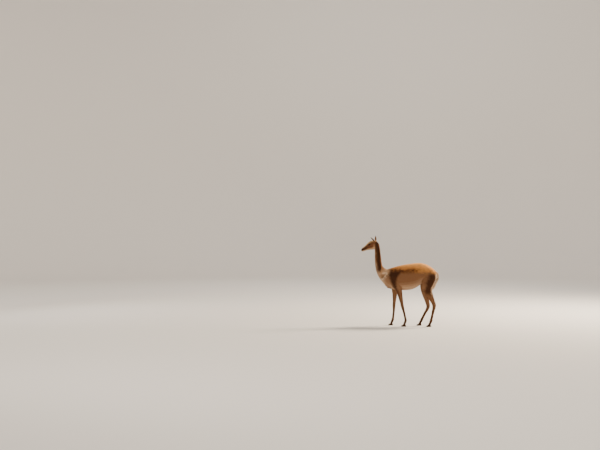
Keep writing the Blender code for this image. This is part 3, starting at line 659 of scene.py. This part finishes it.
def shoulder_and_thigh(colour, places, facing):
    """Lay the dark marks that run down the shoulder and the back of the thigh, partly the coat's own
    brown and partly painted shadow, and a pale edge behind the thigh that is partly painted rim light.
    """
    x, z = places[:, 0], places[:, 2]
    uneven = 0.010 * mottle(places, 0.050, 3) + 0.006 * mottle(places, 0.016, 4)
    uneven = uneven + 0.006 * streaks(places)
    far_out = rise(np.abs(x), 0.030, 0.055)
    for side, place in ((1, "left"), (-1, "right")):
        here = far_out * rise(facing[:, 0] * side, 0.00, 0.30) * (x * side > 0)
        # Shoulder patch and thigh band: the coat's own brown deepened with painted shadow
        share = band(places, SHOULDER_PATCH, "fore_" + place, (0.032, 0.021), uneven)
        share = share * rise(z, 0.34, 0.42) * rise(-(z + uneven), -0.850, -0.790)
        share = share * (0.62 + 0.38 * rise(z, 0.50, 0.60))
        colour = lay(colour, "dark", share * here * 0.94)
        share = band(places, THIGH_BAND, "hind_" + place, (0.034, 0.010), uneven)
        share = share * rise(z, 0.430, 0.520) * rise(-(z + uneven), -0.820, -0.740)
        colour = lay(colour, "dark", share * here * 0.94)
        # Pale edge behind the thigh band: partly the coat's own pale hair, partly painted rim light
        behind = along_with(places, "hind_" + place) + uneven
        behind = behind - np.interp(z, THIGH_BAND[0], THIGH_BAND[2])
        rim = rise(behind, 0.004, 0.020) * rise(z, 0.42, 0.56) * rise(-z, -0.810, -0.760)
        colour = lay(colour, "cream", rim * 0.6 * (x * side > 0))
    return colour


def neck_colour(places):
    """Pale down the throat, with a dark band up each side that is partly painted shade, and a brown nape.
    """
    y, z = places[:, 1] - BACK_SHIFT, places[:, 2]
    uneven = 0.006 * mottle(places, 0.035, 8) + 0.003 * mottle(places, 0.012, 7)
    back = (y - path_back(NECK_PATH, z) + BACK_SHIFT) / 0.045 + uneven / 0.02
    colour = lay(plain("throat", len(places)), "cream", rise(-back, 0.40, 1.20) * 0.30)
    nape = rise(y + uneven, *(np.interp(z, NECK_BAND[0], NECK_BAND[2]) + k for k in (-0.012, 0.010)))
    colour = lay(colour, "cinnamon", nape)
    colour = lay(colour, "jaw", nape * rise(-z, -0.900, -0.820) * 0.5)
    # Dark band on the neck: partly the coat's own brown, partly painted shade on the side of the neck
    share = band(places, NECK_BAND, None, (0.032, 0.010), uneven) * rise(z, 0.770, 0.850)
    return lay(colour, "dark", share * 0.95)


def leg_colour(places, facing, names):
    """Tan down to the knees and hocks, and browner to the feet, with painted shade on the faces turned
    forward, away from the light.
    """
    x, z = places[:, 0], places[:, 2]
    # Browner lower legs, more so on faces turned forward: partly painted shade
    colour = lay(plain("tan", len(places)), "shank",
                 rise(-z, -0.40, -0.18) * (0.65 + 0.35 * rise(-facing[:, 1], -0.2, 0.5)))
    inner = rise(-facing[:, 0] * np.sign(x), 0.1, 0.7)
    colour = lay(colour, "chest", inner * 0.40 * rise(z, 0.14, 0.36))
    colour = lay(colour, "flank", rise(z, 0.50, 0.66) * 0.7)
    fore = np.array([name.startswith("fore") for name in names])
    # Faces turned forward, away from the light behind, get painted shade over the leg's own brown front
    front = rise(-facing[:, 1], 0.20, 0.75) * rise(z, 0.05, 0.12) * rise(-z, -0.50, -0.40)
    colour = lay(colour, "dark", front * np.where(fore, 0.70, 0.30))
    return lay(colour, "hoof_hair", rise(-z, -0.100, -0.035) * 0.9)


def near_leg(places):
    """1 on a leg and the root of it, 0 away from all four."""
    x, y, z = places.T
    near = np.zeros(len(places))
    for path in LEG_PATHS.values():
        beside = np.abs(y - path_back(path, z))
        near = np.maximum(near, rise(-beside, -0.120, -0.080) * (x * path[0][0] > 0))
    return near


def head_colour(places, facing):
    """Pale brow and jaw, brown cheeks, and a dark nose and lids. The pale brow shade on faces turned up
    is partly painted light from above, and the nostril and lip slits get painted shade.
    """
    head = in_head(places)
    turn = np.array(HEAD_PLACE.inverted())[:3, :3]
    upward = (facing @ turn.T)[:, 2] + 0.1 * mottle(places, 0.02, 9)
    forward, height = -head[:, 1], head[:, 2]
    colour = lay(plain("face", len(places)), "snout", rise(forward, 0.125, 0.185) * 0.9)
    # Faces of the head turned up get the pale brow shade: partly the brow's own paler hair, partly
    # painted light from above
    colour = lay(colour, "lit_brow", rise(upward, 0.20, 0.88) * (1 - 0.6 * rise(forward, 0.19, 0.24)))
    colour = lay(colour, "poll", rise(-forward, -0.030, 0.006) * rise(height, 0.016, 0.036))
    low = rise(-upward, 0.20, 0.65) * rise(-height, 0.005, 0.040)
    colour = lay(colour, "jaw", low)
    nose = rise(forward + 0.004 * mottle(places, 0.012, 2), 0.215, 0.252) * rise(height, -0.022, -0.016)
    colour = lay(colour, "muzzle", nose)
    lips = rise(-lip_distance(head), -0.0040, -0.0012)
    colour = lay(colour, "muzzle", lips * rise(forward, 0.183, 0.195))
    out = past_lids(head)
    colour = lay(colour, "dark", rise(-out, -1.75, -1.10) * 0.55)
    colour = lay(colour, "lid", rise(-out, -1.22, -1.05))
    # Painted shade in the nostril and lip slits
    slit_shade = np.maximum(rise(-nostril_distance(head), -0.0030, -0.0016),
                       rise(-lip_split_distance(head), -0.0018, -0.0006))
    return blend(colour, SHADE["lid"] * 0.5, slit_shade)


def ear_colour(places, facing, side):
    turn = np.array(ear_place(side).inverted())
    behind = facing @ turn[1, :3]
    up = places @ turn[2, :3] + turn[2, 3]
    # The hollow side, turned away from the light behind, keeps a darker shade than the back: painted
    # shade in the hollow
    colour = lay(plain("shaded_ear_hollow", len(places)), "ear_back", rise(behind, -0.25, 0.15))
    colour = lay(colour, "dark", rise(up, 0.055, 0.085) * 0.8)
    return lay(colour, "cinnamon", rise(-up, -0.030, -0.012) * 0.7)


def coat_colour(places, facing, nodes):
    """The markings of the whole coat at some points, with painted light and shade laid into them."""
    names = np.array(FLESH)[nodes]
    trunk = trunk_colour(places, facing)
    neck = neck_colour(places)
    y, z = places[:, 1] - BACK_SHIFT, places[:, 2]
    level = np.interp(y, [-0.42, -0.36, -0.30, -0.24], [0.760, 0.790, 0.845, 0.900])
    level = level + 0.012 * mottle(places, 0.03, 5)
    upper = rise(z - level, -0.030, 0.030) * rise(-y, 0.22, 0.27)
    colour = blend(trunk, neck, upper)
    leg = shoulder_and_thigh(leg_colour(places, facing, names), places, facing)
    colour = blend(colour, leg, rise(-z, -0.590, -0.500) * near_leg(places))
    face = (names == "head") | (names == "neck")
    ahead = rise(past_jaw(places[face]) + 0.006 * mottle(places[face], 0.02, 5), -0.014, 0.014)
    top = rise(in_head(places[face])[:, 2], 0.004, 0.024)
    colour[face] = blend(colour[face], head_colour(places[face], facing[face]),
                         np.maximum(ahead, top))
    for side, name in ((1, "ear_left"), (-1, "ear_right")):
        here = names == name
        colour[here] = ear_colour(places[here], facing[here], side)
    tail = names == "tail"
    tip = 0.35 + 0.65 * rise(-z[tail], -0.74, -0.62)
    colour[tail] = blend(blend(plain("chest", tail.sum()), SHADE["cream"], tip),
                         SHADE["amber"], rise(z[tail], 0.74, 0.79) * 0.3)
    return np.clip(colour * (1 + 0.06 * mottle(places, 0.011, 12))[:, None], 0.003, 0.9)


def paint(mesh, colours):
    layer = mesh.color_attributes.new("coat_colour", "FLOAT_COLOR", "POINT")
    full = np.ones((len(colours), 4), np.float32)
    full[:, :3] = colours
    layer.data.foreach_set("color", full.ravel())


# The coat

def unwrap_of(skin):
    """A light copy of the skin laid out flat: its tree, corners and flat places."""
    copy = linked("pattern", skin["thing"].data.copy())
    thin = copy.modifiers.new("thin", "DECIMATE")
    thin.ratio = PATTERN_FACES / len(copy.data.polygons)
    settled(copy)
    bpy.ops.object.select_all(action="DESELECT")
    bpy.context.view_layer.objects.active = copy
    copy.select_set(True)
    bpy.ops.object.mode_set(mode="EDIT")
    bpy.ops.mesh.select_all(action="SELECT")
    bpy.ops.uv.smart_project(angle_limit=PATTERN_ANGLE, island_margin=PATTERN_MARGIN)
    bpy.ops.object.mode_set(mode="OBJECT")
    mesh = copy.data
    points, corners = corners_of(mesh), triangles_of(mesh)
    loops = rows_of(mesh.loop_triangles, "loops", 3, int)
    flat = rows_of(mesh.uv_layers.active.data, "uv", 2)
    tree = BVHTree.FromPolygons([tuple(p) for p in points], corners.tolist())
    made = {"tree": tree, "triangles": points[corners], "flat": flat[loops]}
    bpy.data.objects.remove(copy, do_unlink=True)
    return made


def shares_in(triangle, places):
    """How near each point is to the three corners of its triangle, as shares."""
    a, b, c = triangle[:, 0], triangle[:, 1], triangle[:, 2]
    ab, ac, ap = b - a, c - a, places - a
    d00, d01, d11 = (ab * ab).sum(1), (ab * ac).sum(1), (ac * ac).sum(1)
    d20, d21 = (ap * ab).sum(1), (ap * ac).sum(1)
    under = np.maximum(d00 * d11 - d01 * d01, 1e-18)
    v = np.clip((d11 * d20 - d01 * d21) / under, 0, 1)
    w = np.clip((d00 * d21 - d01 * d20) / under, 0, 1)
    return np.stack([1 - v - w, v, w], axis=1)


def flat_places(pattern, places):
    """Where points of the skin lie on the flat pattern."""
    found = np.array([pattern["tree"].find_nearest(place)[2] for place in places])
    shares = shares_in(pattern["triangles"][found], places)
    return (pattern["flat"][found] * shares[:, :, None]).sum(1)


def scattered(skin, chance):
    """Even, random places over the skin, closer where the coat is finer."""
    places, triangles = skin["places"], skin["triangles"]
    a, b, c = (places[triangles[:, k]] for k in range(3))
    area = np.linalg.norm(np.cross(b - a, c - a), axis=1) / 2
    space = skin["sizes"][triangles, 3].mean(1)
    wanted = np.cumsum(area / space ** 2 * TUFTS_TRIED) + chance.random()
    counts = np.diff(np.floor(wanted), prepend=0).astype(int)
    counts[skin["bare"][triangles].mean(1) > 0.5] = 0
    face = np.repeat(np.arange(len(triangles)), counts)
    r, s = chance.random(len(face)), chance.random(len(face))
    over = r + s > 1
    r[over], s[over] = 1 - r[over], 1 - s[over]
    shares = np.stack([1 - r - s, r, s], axis=1)
    spots = (places[triangles[face]] * shares[:, :, None]).sum(1)
    cells = np.floor(spots / (space[face] * CELL_SHARE)[:, None]).astype(int)
    order = chance.permutation(len(face))
    _, first = np.unique(cells[order], axis=0, return_index=True)
    kept = order[np.sort(first)]
    return face[kept], shares[kept], spots[kept]


def on_skin(values, skin, face, shares):
    return (values[skin["triangles"][face]] * shares[:, :, None]).sum(1)


def followed(tree, spots):
    """The nearest places of the skin to some points, and the way out there."""
    places, normals = np.empty_like(spots), np.empty_like(spots)
    for i, spot in enumerate(spots):
        place, normal, _, _ = tree.find_nearest(spot)
        places[i], normals[i] = place, normal
    return places, normals


def gathered(tips, spots, normals, space, chance):
    """Draw the tips of neighbouring tufts towards one of them, as wool does."""
    level = np.maximum(np.round(np.log2(space / GATHER_SPACE) * 2), 0)
    chosen = np.zeros(len(spots), bool)
    for value in np.unique(level):
        here = np.nonzero(level == value)[0]
        cells = np.floor(spots[here] / (GATHER_SPACE * 2 ** (value / 2))).astype(int)
        _, first = np.unique(cells, axis=0, return_index=True)
        chosen[here[first]] = True
    leaders = np.nonzero(chosen)[0]
    tree = KDTree(len(leaders))
    for i, leader in enumerate(leaders):
        tree.insert(spots[leader], i)
    tree.balance()
    leader = leaders[[tree.find(spot)[1] for spot in spots]]
    pull = chance.uniform(*GATHER_PULLS, len(spots))
    pull *= rise((normals * normals[leader]).sum(1), 0.3, 0.8)
    return tips + (tips[leader] - tips) * pull[:, None]


def make_tufts(skin, chance):
    """The root, middle and tip of every tuft, and its width, colour and flat place."""
    face, shares, spots = scattered(skin, chance)
    count = len(face)
    normals = unit(on_skin(skin["normals"], skin, face, shares))
    lie = on_skin(skin["lie"], skin, face, shares)
    drift, drift_size = LIE_DRIFT
    lie = lie + drift * np.stack([mottle(spots, drift_size, 20 + k) for k in range(3)], axis=1)
    lie = lie + chance.normal(0, LIE_SCATTER, (count, 3))
    lie = unit(lie - normals * (lie * normals).sum(1)[:, None])
    sizes = on_skin(skin["sizes"], skin, face, shares)
    depth = on_skin(skin["depth"][:, None], skin, face, shares)[:, 0]
    length = sizes[:, 1] * chance.uniform(*TUFT_LENGTHS, count)
    places = skin["places"]
    tree = BVHTree.FromPolygons([tuple(p) for p in places], skin["triangles"].tolist())
    _, end_normals = followed(tree, spots + lie * length[:, None])
    length *= SHORTEST + (1 - SHORTEST) * rise((end_normals * normals).sum(1), -0.1, 0.5)
    middle, middle_normals = followed(tree, spots + lie * (length * 0.5)[:, None])
    end, end_normals = followed(tree, spots + lie * length[:, None])
    fits = np.abs(((end - spots) * normals).sum(1)) < MOST_MISFIT * length
    fits &= np.linalg.norm(end - spots, axis=1) > MOST_MISFIT * length
    lift = np.maximum(depth, LEAST_LIFT)
    middle = middle + middle_normals * (lift * chance.uniform(*MIDDLE_LIFTS, count))[:, None]
    tip = end + end_normals * (lift * chance.uniform(*TIP_LIFTS, count))[:, None]
    nodes = skin["nodes"][skin["triangles"][face, 0]]
    loose = (nodes == FLESH.index("tail")) * chance.uniform(*TAIL_LOOSE, count)
    splay = lift + TAIL_SPLAY * rise(depth, 0.0010, 0.0024)
    straight = spots + lie * length[:, None] + normals * splay[:, None]
    tip = tip + (straight - tip) * loose[:, None]
    tip = gathered(tip, spots, normals, sizes[:, 4], chance)
    colour = coat_colour(middle, middle_normals, nodes)
    colour = colour * chance.uniform(*TUFT_SHADES, count)[:, None]
    return {"root": spots - normals * ROOT_DEPTH, "middle": middle, "tip": tip,
            "normal": normals, "middle_normal": middle_normals,
            "width": sizes[:, 2] * chance.uniform(*TUFT_WIDTHS, count),
            "colour": colour, "nodes": nodes,
            "sort": np.where(fits, skin["parts"][skin["triangles"][face, 0]], -1)}


# A tuft's ring of three corners, which way each faces, and each ring's place, width and shade; the root
# is painted a little darker as shade down in the coat, and the tip a little paler as painted light on the
# coat's top

RING = [(0.5, -0.12), (-0.5, -0.12), (0.0, 0.26)]
RING_WAYS = [(1.0, 0.2), (-1.0, 0.2), (0.0, 1.0)]
STATIONS = [(0.0, 0.85, 0.95), (0.5, 1.00, 1.0)]
TIP_SHADE = 1.06
SOFT_LIGHT = 1.5
PATCH = 0.0028


def tuft_mesh(name, tufts, flat, chosen):
    """Closed, thin, bent tufts as one mesh, lit as softly as the coat that they make up."""
    root, middle, tip = (tufts[k][chosen] for k in ("root", "middle", "tip"))
    count = len(chosen)
    rings, shades, flats, ways = [], [], [], []
    for along, width, shade in STATIONS:
        spot = root if along == 0 else middle
        ahead = unit((middle if along == 0 else tip) - root)
        normal = tufts["normal" if along == 0 else "middle_normal"][chosen]
        across = unit(np.cross(ahead, normal))
        upward = np.cross(across, ahead)
        size = (tufts["width"][chosen] * width)[:, None]
        for (side, up), (side_way, up_way) in zip(RING, RING_WAYS):
            rings.append(spot + across * size * side + upward * size * up)
            ways.append(unit(across * side_way + upward * up_way + normal * SOFT_LIGHT))
            shades.append(tufts["colour"][chosen] * shade)
            flats.append(flat[chosen] + (side * PATCH * 0.8, (along - 0.5) * PATCH))
    rings.append(tip)
    ways.append(tufts["middle_normal"][chosen])
    # The tip painted a little paler: painted light on the top of the coat
    shades.append(tufts["colour"][chosen] * TIP_SHADE)
    flats.append(flat[chosen] + (0, PATCH * 0.5))
    corners = np.stack(rings, axis=1).reshape(-1, 3)
    corners[:, 2] = np.maximum(corners[:, 2], FLOOR_CLEAR)
    colours = np.stack(shades, axis=1).reshape(-1, 3)
    places = np.stack(flats, axis=1).reshape(-1, 2)
    faces = [(0, 2, 1), (0, 1, 3), (1, 4, 3), (1, 2, 4), (2, 5, 4), (2, 0, 5), (0, 3, 5),
             (3, 4, 6), (4, 5, 6), (5, 3, 6)]
    loops = (np.arange(count)[:, None, None] * 7 + np.array(faces)[None]).reshape(-1)
    mesh = bpy.data.meshes.new(name)
    mesh.vertices.add(len(corners))
    mesh.vertices.foreach_set("co", corners.ravel())
    mesh.loops.add(len(loops))
    mesh.loops.foreach_set("vertex_index", loops)
    mesh.polygons.add(len(loops) // 3)
    mesh.polygons.foreach_set("loop_start", np.arange(0, len(loops), 3))
    mesh.polygons.foreach_set("use_smooth", np.ones(len(loops) // 3, bool))
    mesh.update(calc_edges=True)
    mesh.normals_split_custom_set_from_vertices(np.stack(ways, axis=1).reshape(-1, 3).tolist())
    paint(mesh, np.clip(colours, 0.002, 0.95))
    layer = mesh.uv_layers.new(name="OFBake")
    layer.data.foreach_set("uv", places[loops].ravel())
    return linked(name, mesh)


# Finishes

SHEEN_ROUGHNESS = 0.45
SHEEN_TINT = (1.0, 0.74, 0.46, 1)
GRAIN_SCALE = 620.0
GRAIN_DETAIL = 3.0
GRAIN_STRENGTH = 0.35
GRAIN_HEIGHT = 0.0012


def finish(name, roughness, colour=None, sheen=0.0, gloss=0.5):
    made = bpy.data.materials.new(name)
    made.use_nodes = True
    shader = made.node_tree.nodes["Principled BSDF"]
    for socket, value in (("Roughness", roughness), ("Specular IOR Level", gloss),
                          ("Sheen Weight", sheen), ("Sheen Roughness", SHEEN_ROUGHNESS),
                          ("Sheen Tint", SHEEN_TINT)):
        shader.inputs[socket].default_value = value
    if colour is not None:
        shader.inputs["Base Color"].default_value = (*colour, 1)
        return made
    tint = made.node_tree.nodes.new("ShaderNodeAttribute")
    tint.attribute_name = "coat_colour"
    made.node_tree.links.new(tint.outputs["Color"], shader.inputs["Base Color"])
    return made


def short_hair():
    """The skin's finish: the coat's colours with the grain of close hair."""
    made = finish("short_hair", 0.85, sheen=0.10, gloss=0.15)
    tree = made.node_tree
    grain = tree.nodes.new("ShaderNodeTexNoise")
    grain.inputs["Scale"].default_value = GRAIN_SCALE
    grain.inputs["Detail"].default_value = GRAIN_DETAIL
    where = tree.nodes.new("ShaderNodeTexCoord")
    raised = tree.nodes.new("ShaderNodeBump")
    raised.inputs["Strength"].default_value = GRAIN_STRENGTH
    raised.inputs["Distance"].default_value = GRAIN_HEIGHT
    tree.links.new(where.outputs["Object"], grain.inputs["Vector"])
    tree.links.new(grain.outputs["Fac"], raised.inputs["Height"])
    tree.links.new(raised.outputs["Normal"], tree.nodes["Principled BSDF"].inputs["Normal"])
    return made


def dress(thing, finish_made, nodes):
    thing.data.materials.clear()
    thing.data.materials.append(finish_made)
    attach(thing, "root")
    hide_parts(*nodes)


# Eyes, lids and lashes

def around(count):
    """The pairs of neighbours in a closed ring."""
    return [(i, (i + 1) % count) for i in range(count)]


def loft(name, rings):
    """A closed skin over rings with the same number of points."""
    count = len(rings[0])
    points = [tuple(p) for ring in rings for p in ring]
    top = len(points) - count
    faces = [(r + i, r + j, r + count + j, r + count + i)
             for r in range(0, top, count) for i, j in around(count)]
    faces.append(tuple(range(count)))
    faces.append(tuple(range(top + count - 1, top - 1, -1)))
    return solid(name, points, faces)


def solid(name, points, faces):
    """A closed mesh with its faces turned outward."""
    mesh = bpy.data.meshes.new(name)
    mesh.from_pydata(points, [], faces)
    form = bmesh.new()
    form.from_mesh(mesh)
    bmesh.ops.recalc_face_normals(form, faces=form.faces)
    form.to_mesh(mesh)
    form.free()
    return linked(name, smooth(mesh))


BALL_SEGMENTS = (40, 28)
PUPIL = (0.0085, 0.0050)
IRIS_EDGE = (0.0120, 0.0140)
IRIS_SHADE = (40, 24, 15)
PUPIL_SHADE = (10, 9, 10)
RIM_SHADE = (16, 12, 10)


def eyeball(side, name):
    """A glossy dark ball with a wide, level pupil."""
    seat, radius = EYES[side]
    out = HEAD_PLACE.to_3x3() @ Vector((side, 0, 0))
    form = bmesh.new()
    around, down = BALL_SEGMENTS
    bmesh.ops.create_uvsphere(form, u_segments=around, v_segments=down, radius=radius)
    turn = out.to_track_quat("Z", "Y").to_matrix().to_4x4()
    bmesh.ops.transform(form, matrix=Matrix.Translation(seat) @ turn, verts=form.verts)
    mesh = smooth(mesh_of(name, form))
    head = in_head(corners_of(mesh))
    forward = -head[:, 1] - EYE_SEAT_FORWARD
    height = head[:, 2] - EYE_SEAT_HEIGHT
    away = np.sqrt((forward / PUPIL[0]) ** 2 + (height / PUPIL[1]) ** 2)
    iris = np.sqrt(forward ** 2 + height ** 2)
    colour = blend(np.tile(linear(IRIS_SHADE), (len(head), 1)), linear(PUPIL_SHADE),
                   rise(-away, -1.15, -0.95))
    colour = blend(colour, linear(RIM_SHADE), rise(iris, *IRIS_EDGE))
    paint(mesh, colour)
    return linked(name, mesh)


def lid_point(side, angle, over, scale=1.0):
    """A point of the eye's almond opening, laid over the eyeball."""
    _, radius = EYES[side]
    along = math.cos(angle) * OPENING_LENGTH / 2 * scale
    narrow = 1 - 0.35 * abs(math.cos(angle)) ** 3
    lift = math.sin(angle) * OPENING_HEIGHT / 2 * narrow * scale
    forward = along * math.cos(OPENING_TILT) + lift * math.sin(OPENING_TILT)
    height = lift * math.cos(OPENING_TILT) - along * math.sin(OPENING_TILT)
    reach = radius + over
    across = math.sqrt(max(reach ** 2 - forward ** 2 - height ** 2, 0))
    seat = HEAD_PLACE.inverted() @ EYES[side][0]
    return HEAD_PLACE @ (seat + Vector((side * across, -forward, height)))


LID_SECTION = [(1.16, 0.0024, "face"), (1.04, 0.0030, "snout"), (0.955, 0.0028, "dark"),
               (0.895, 0.0019, "lid"), (0.880, 0.0009, "lid"), (0.920, 0.0001, "lid"),
               (1.10, 0.0003, "lid")]
LID_POINTS = 48


def lid_rim(side, name):
    """Both lids: a soft fold of skin that narrows the opening to a dark edge."""
    points, shades = [], []
    section = len(LID_SECTION)
    for i in range(LID_POINTS):
        angle = 2 * math.pi * i / LID_POINTS
        for scale, over, shade in LID_SECTION:
            points.append(tuple(lid_point(side, angle, over, scale)))
            shades.append(SHADE[shade])
    faces = [(i * section + k, i * section + m, j * section + m, j * section + k)
             for i, j in around(LID_POINTS) for k, m in around(section)]
    lids = solid(name, points, faces)
    paint(lids.data, np.array(shades))
    return lids


LASHES = 30
LASH_SPAN = (22, 136)
LASH_SEAT = (0.0018, 0.90)
LASH_LENGTH = 0.0085
LASH_ROWS = ((0, 0.00036), (0.4, 0.00032), (0.75, 0.00022), (1, 0.00006))


def lashes(side, name, chance):
    """A row of dark lashes along the upper lid."""
    forms = []
    down = HEAD_PLACE.to_3x3() @ Vector((0, 0, -1))
    ahead = HEAD_PLACE.to_3x3() @ Vector((0, -1, 0))
    seat, _ = EYES[side]
    for k in range(LASHES):
        degrees = LASH_SPAN[0] + LASH_SPAN[1] * k / (LASHES - 1) + chance.uniform(-1.5, 1.5)
        spot = lid_point(side, math.radians(degrees), *LASH_SEAT)
        out = (spot - seat).normalized()
        length = LASH_LENGTH * chance.uniform(0.8, 1.15)
        rings = []
        for share, width in LASH_ROWS:
            centre = spot + (out + ahead * 0.25) * length * share + down * length * 0.7 * share ** 2
            rings.append([centre + ahead * math.cos(turn) * width + down * math.sin(turn) * width
                          for turn in (math.pi / 2 * m for m in range(4))])
        forms.append(loft("lash", rings))
    return joined(name, forms)


def joined(name, forms):
    whole = bmesh.new()
    for form in forms:
        whole.from_mesh(form.data)
        bpy.data.objects.remove(form, do_unlink=True)
    return linked(name, smooth(mesh_of(name, whole)))


def nail_of(node):
    """A nail rounded from its solid."""
    nail = linked("fine_" + node, mesh_of("fine_" + node, node_form(node, 0)))
    round_off = nail.modifiers.new("round", "SUBSURF")
    round_off.levels = 2
    round_off.render_levels = 2
    settled(nail)
    smooth(nail.data)
    return nail


# Putting the animal together

# The skin between the tufts is painted a little darker than the coat: painted shade down in the coat
SKIN_SHADE = 0.98
chance = np.random.default_rng(COAT_SEED)
skin = make_skin()
paint(skin["thing"].data, coat_colour(skin["places"], skin["normals"], skin["nodes"]) * SKIN_SHADE)
dress(skin["thing"], short_hair(), FLESH)

tufts = make_tufts(skin, chance)
flat = flat_places(unwrap_of(skin), tufts["root"])
wool = finish("wool", 0.85, sheen=0.12, gloss=0.15)
PIECE_TUFTS = 19000
for part in PARTS:
    chosen = np.nonzero(tufts["sort"] == PARTS.index(part))[0]
    pieces = math.ceil(len(chosen) / PIECE_TUFTS)
    chosen = chosen[np.argsort(tufts["root"][chosen, 1], kind="stable")]
    for number, group in enumerate(np.array_split(chosen, pieces)):
        coat = tuft_mesh("coat_%s_%d" % (part, number + 1), tufts, flat, group)
        dress(coat, wool, [node for node in FLESH if part_of(node) == part])

wet = finish("wet_eye", 0.06, gloss=0.12)
rim = finish("lid_skin", 0.6, gloss=0.3)
lash = finish("lash_hair", 0.55, linear((26, 20, 18)))
for side, place in ((1, "left"), (-1, "right")):
    dress(eyeball(side, "eyeball_" + place), wet, ["eye_" + place])
    dress(lid_rim(side, "lids_" + place), rim, ["head"])
    dress(lashes(side, "lashes_" + place, chance), lash, ["head"])

horn = finish("nail_horn", 0.55, linear((42, 33, 28)), gloss=0.3)
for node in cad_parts:
    if "_nail_" in node:
        dress(nail_of(node), horn, [node])

# Studio: a pale floor that curves up all round, soft lights and the camera

STUDIO_RADIUS = 22.0
STUDIO_CURVE = 5.0
STUDIO_HEIGHT = 14.0
STUDIO_RINGS = (2, 4, 8, 12, STUDIO_RADIUS - STUDIO_CURVE)
STUDIO_STEPS = 8
STUDIO_SIDES = 96


def studio_bowl():
    rows = [(r, 0.0) for r in STUDIO_RINGS]
    for k in range(1, STUDIO_STEPS + 1):
        turn = math.pi / 2 * k / STUDIO_STEPS
        rows.append((STUDIO_RADIUS - STUDIO_CURVE + STUDIO_CURVE * math.sin(turn),
                     STUDIO_CURVE - STUDIO_CURVE * math.cos(turn)))
    rows.append((STUDIO_RADIUS, STUDIO_HEIGHT))
    count = STUDIO_SIDES
    points = [(0.0, 0.0, 0.0)]
    for radius, height in rows:
        for i in range(count):
            turn = 2 * math.pi * i / count
            points.append((radius * math.cos(turn), radius * math.sin(turn), height))
    faces = [(0, 1 + i, 1 + j) for i, j in around(count)]
    for r in range(1, 1 + count * (len(rows) - 1), count):
        faces += [(r + i, r + count + i, r + count + j, r + j) for i, j in around(count)]
    mesh = bpy.data.meshes.new("studio")
    mesh.from_pydata(points, [], faces)
    return linked("studio", smooth(mesh))


bowl = studio_bowl()
bowl.data.materials.append(finish("studio_floor", 0.9, linear((226, 219, 210)), gloss=0.1))


def soft_light(name, place, aim, size, power, colour):
    lamp = bpy.data.lights.new(name, "AREA")
    lamp.size = size
    lamp.energy = power
    lamp.color = colour
    thing = bpy.data.objects.new(name, lamp)
    thing.location = place
    thing.rotation_euler = (Vector(aim) - Vector(place)).to_track_quat("-Z", "Y").to_euler()
    bpy.context.scene.collection.objects.link(thing)


# Each light on the animal: place, size, power and colour

SOFT_LIGHTS = {
    "sun_box": ((-3.2, 4.6, 5.6), 2.2, 1450.0, (1.0, 0.88, 0.72)),
    "near_box": ((6.0, -2.5, 4.0), 5.0, 120.0, (1.0, 0.93, 0.86)),
    "front_box": ((-2.0, -6.0, 3.5), 4.0, 90.0, (1.0, 0.95, 0.90)),
}
MIDDLE = (0.0, 0.0, 0.75)
for name, (place, size, power, colour) in SOFT_LIGHTS.items():
    soft_light(name, place, MIDDLE, size, power, colour)

# Lights that wash the studio's wall

WALL_LIGHTS = 4
WALL_LIGHT_AWAY = 8.0
WALL_LIGHT_HEIGHT = 11.0
WALL_LIGHT_AIM = (STUDIO_RADIUS, 2.0)
WALL_LIGHT_KIND = (6.0, 1050.0, (1.0, 0.97, 0.94))
for k in range(WALL_LIGHTS):
    turn = 2 * math.pi * k / WALL_LIGHTS
    way = Vector((-math.cos(turn), math.sin(turn), 0))
    place = way * WALL_LIGHT_AWAY + Vector((0, 0, WALL_LIGHT_HEIGHT))
    aim = way * WALL_LIGHT_AIM[0] + Vector((0, 0, WALL_LIGHT_AIM[1]))
    soft_light("wall_box_%d" % (k + 1), place, aim, *WALL_LIGHT_KIND)

AIR_COLOUR = (0.92, 0.90, 0.87, 1)
AIR_STRENGTH = 0.52
world = bpy.data.worlds.new("studio_air")
world.use_nodes = True
air = world.node_tree.nodes["Background"].inputs
air["Color"].default_value = AIR_COLOUR
air["Strength"].default_value = AIR_STRENGTH
bpy.context.scene.world = world

# The photo's frame: the animal is small and right of the middle

CAMERA_AWAY = 13.5
CAMERA_HEIGHT = 1.308
CAMERA_LENS = 54.0
FOCAL_PIXELS = 900.0
MIDDLE_COLUMN = 300
METRES_PER_PIXEL = 0.015
OBJECT_COLUMN = 405 - BACK_SHIFT / METRES_PER_PIXEL
HORIZON_DROP = 13.0
SENSOR_WIDTH = 36.0
FARTHEST_SEEN = 200.0

camera = bpy.data.objects.new("camera", bpy.data.cameras.new("camera"))
camera.data.sensor_width = SENSOR_WIDTH
camera.data.lens = CAMERA_LENS
camera.data.clip_end = FARTHEST_SEEN
turn = math.atan((OBJECT_COLUMN - MIDDLE_COLUMN) / FOCAL_PIXELS)
tilt = math.atan(HORIZON_DROP / FOCAL_PIXELS)
aim = Vector((-math.cos(turn) * math.cos(tilt), -math.sin(turn) * math.cos(tilt), math.sin(tilt)))
camera.location = (CAMERA_AWAY, 0.0, CAMERA_HEIGHT)
camera.rotation_euler = aim.to_track_quat("-Z", "Y").to_euler()
bpy.context.scene.collection.objects.link(camera)
bpy.context.scene.camera = camera
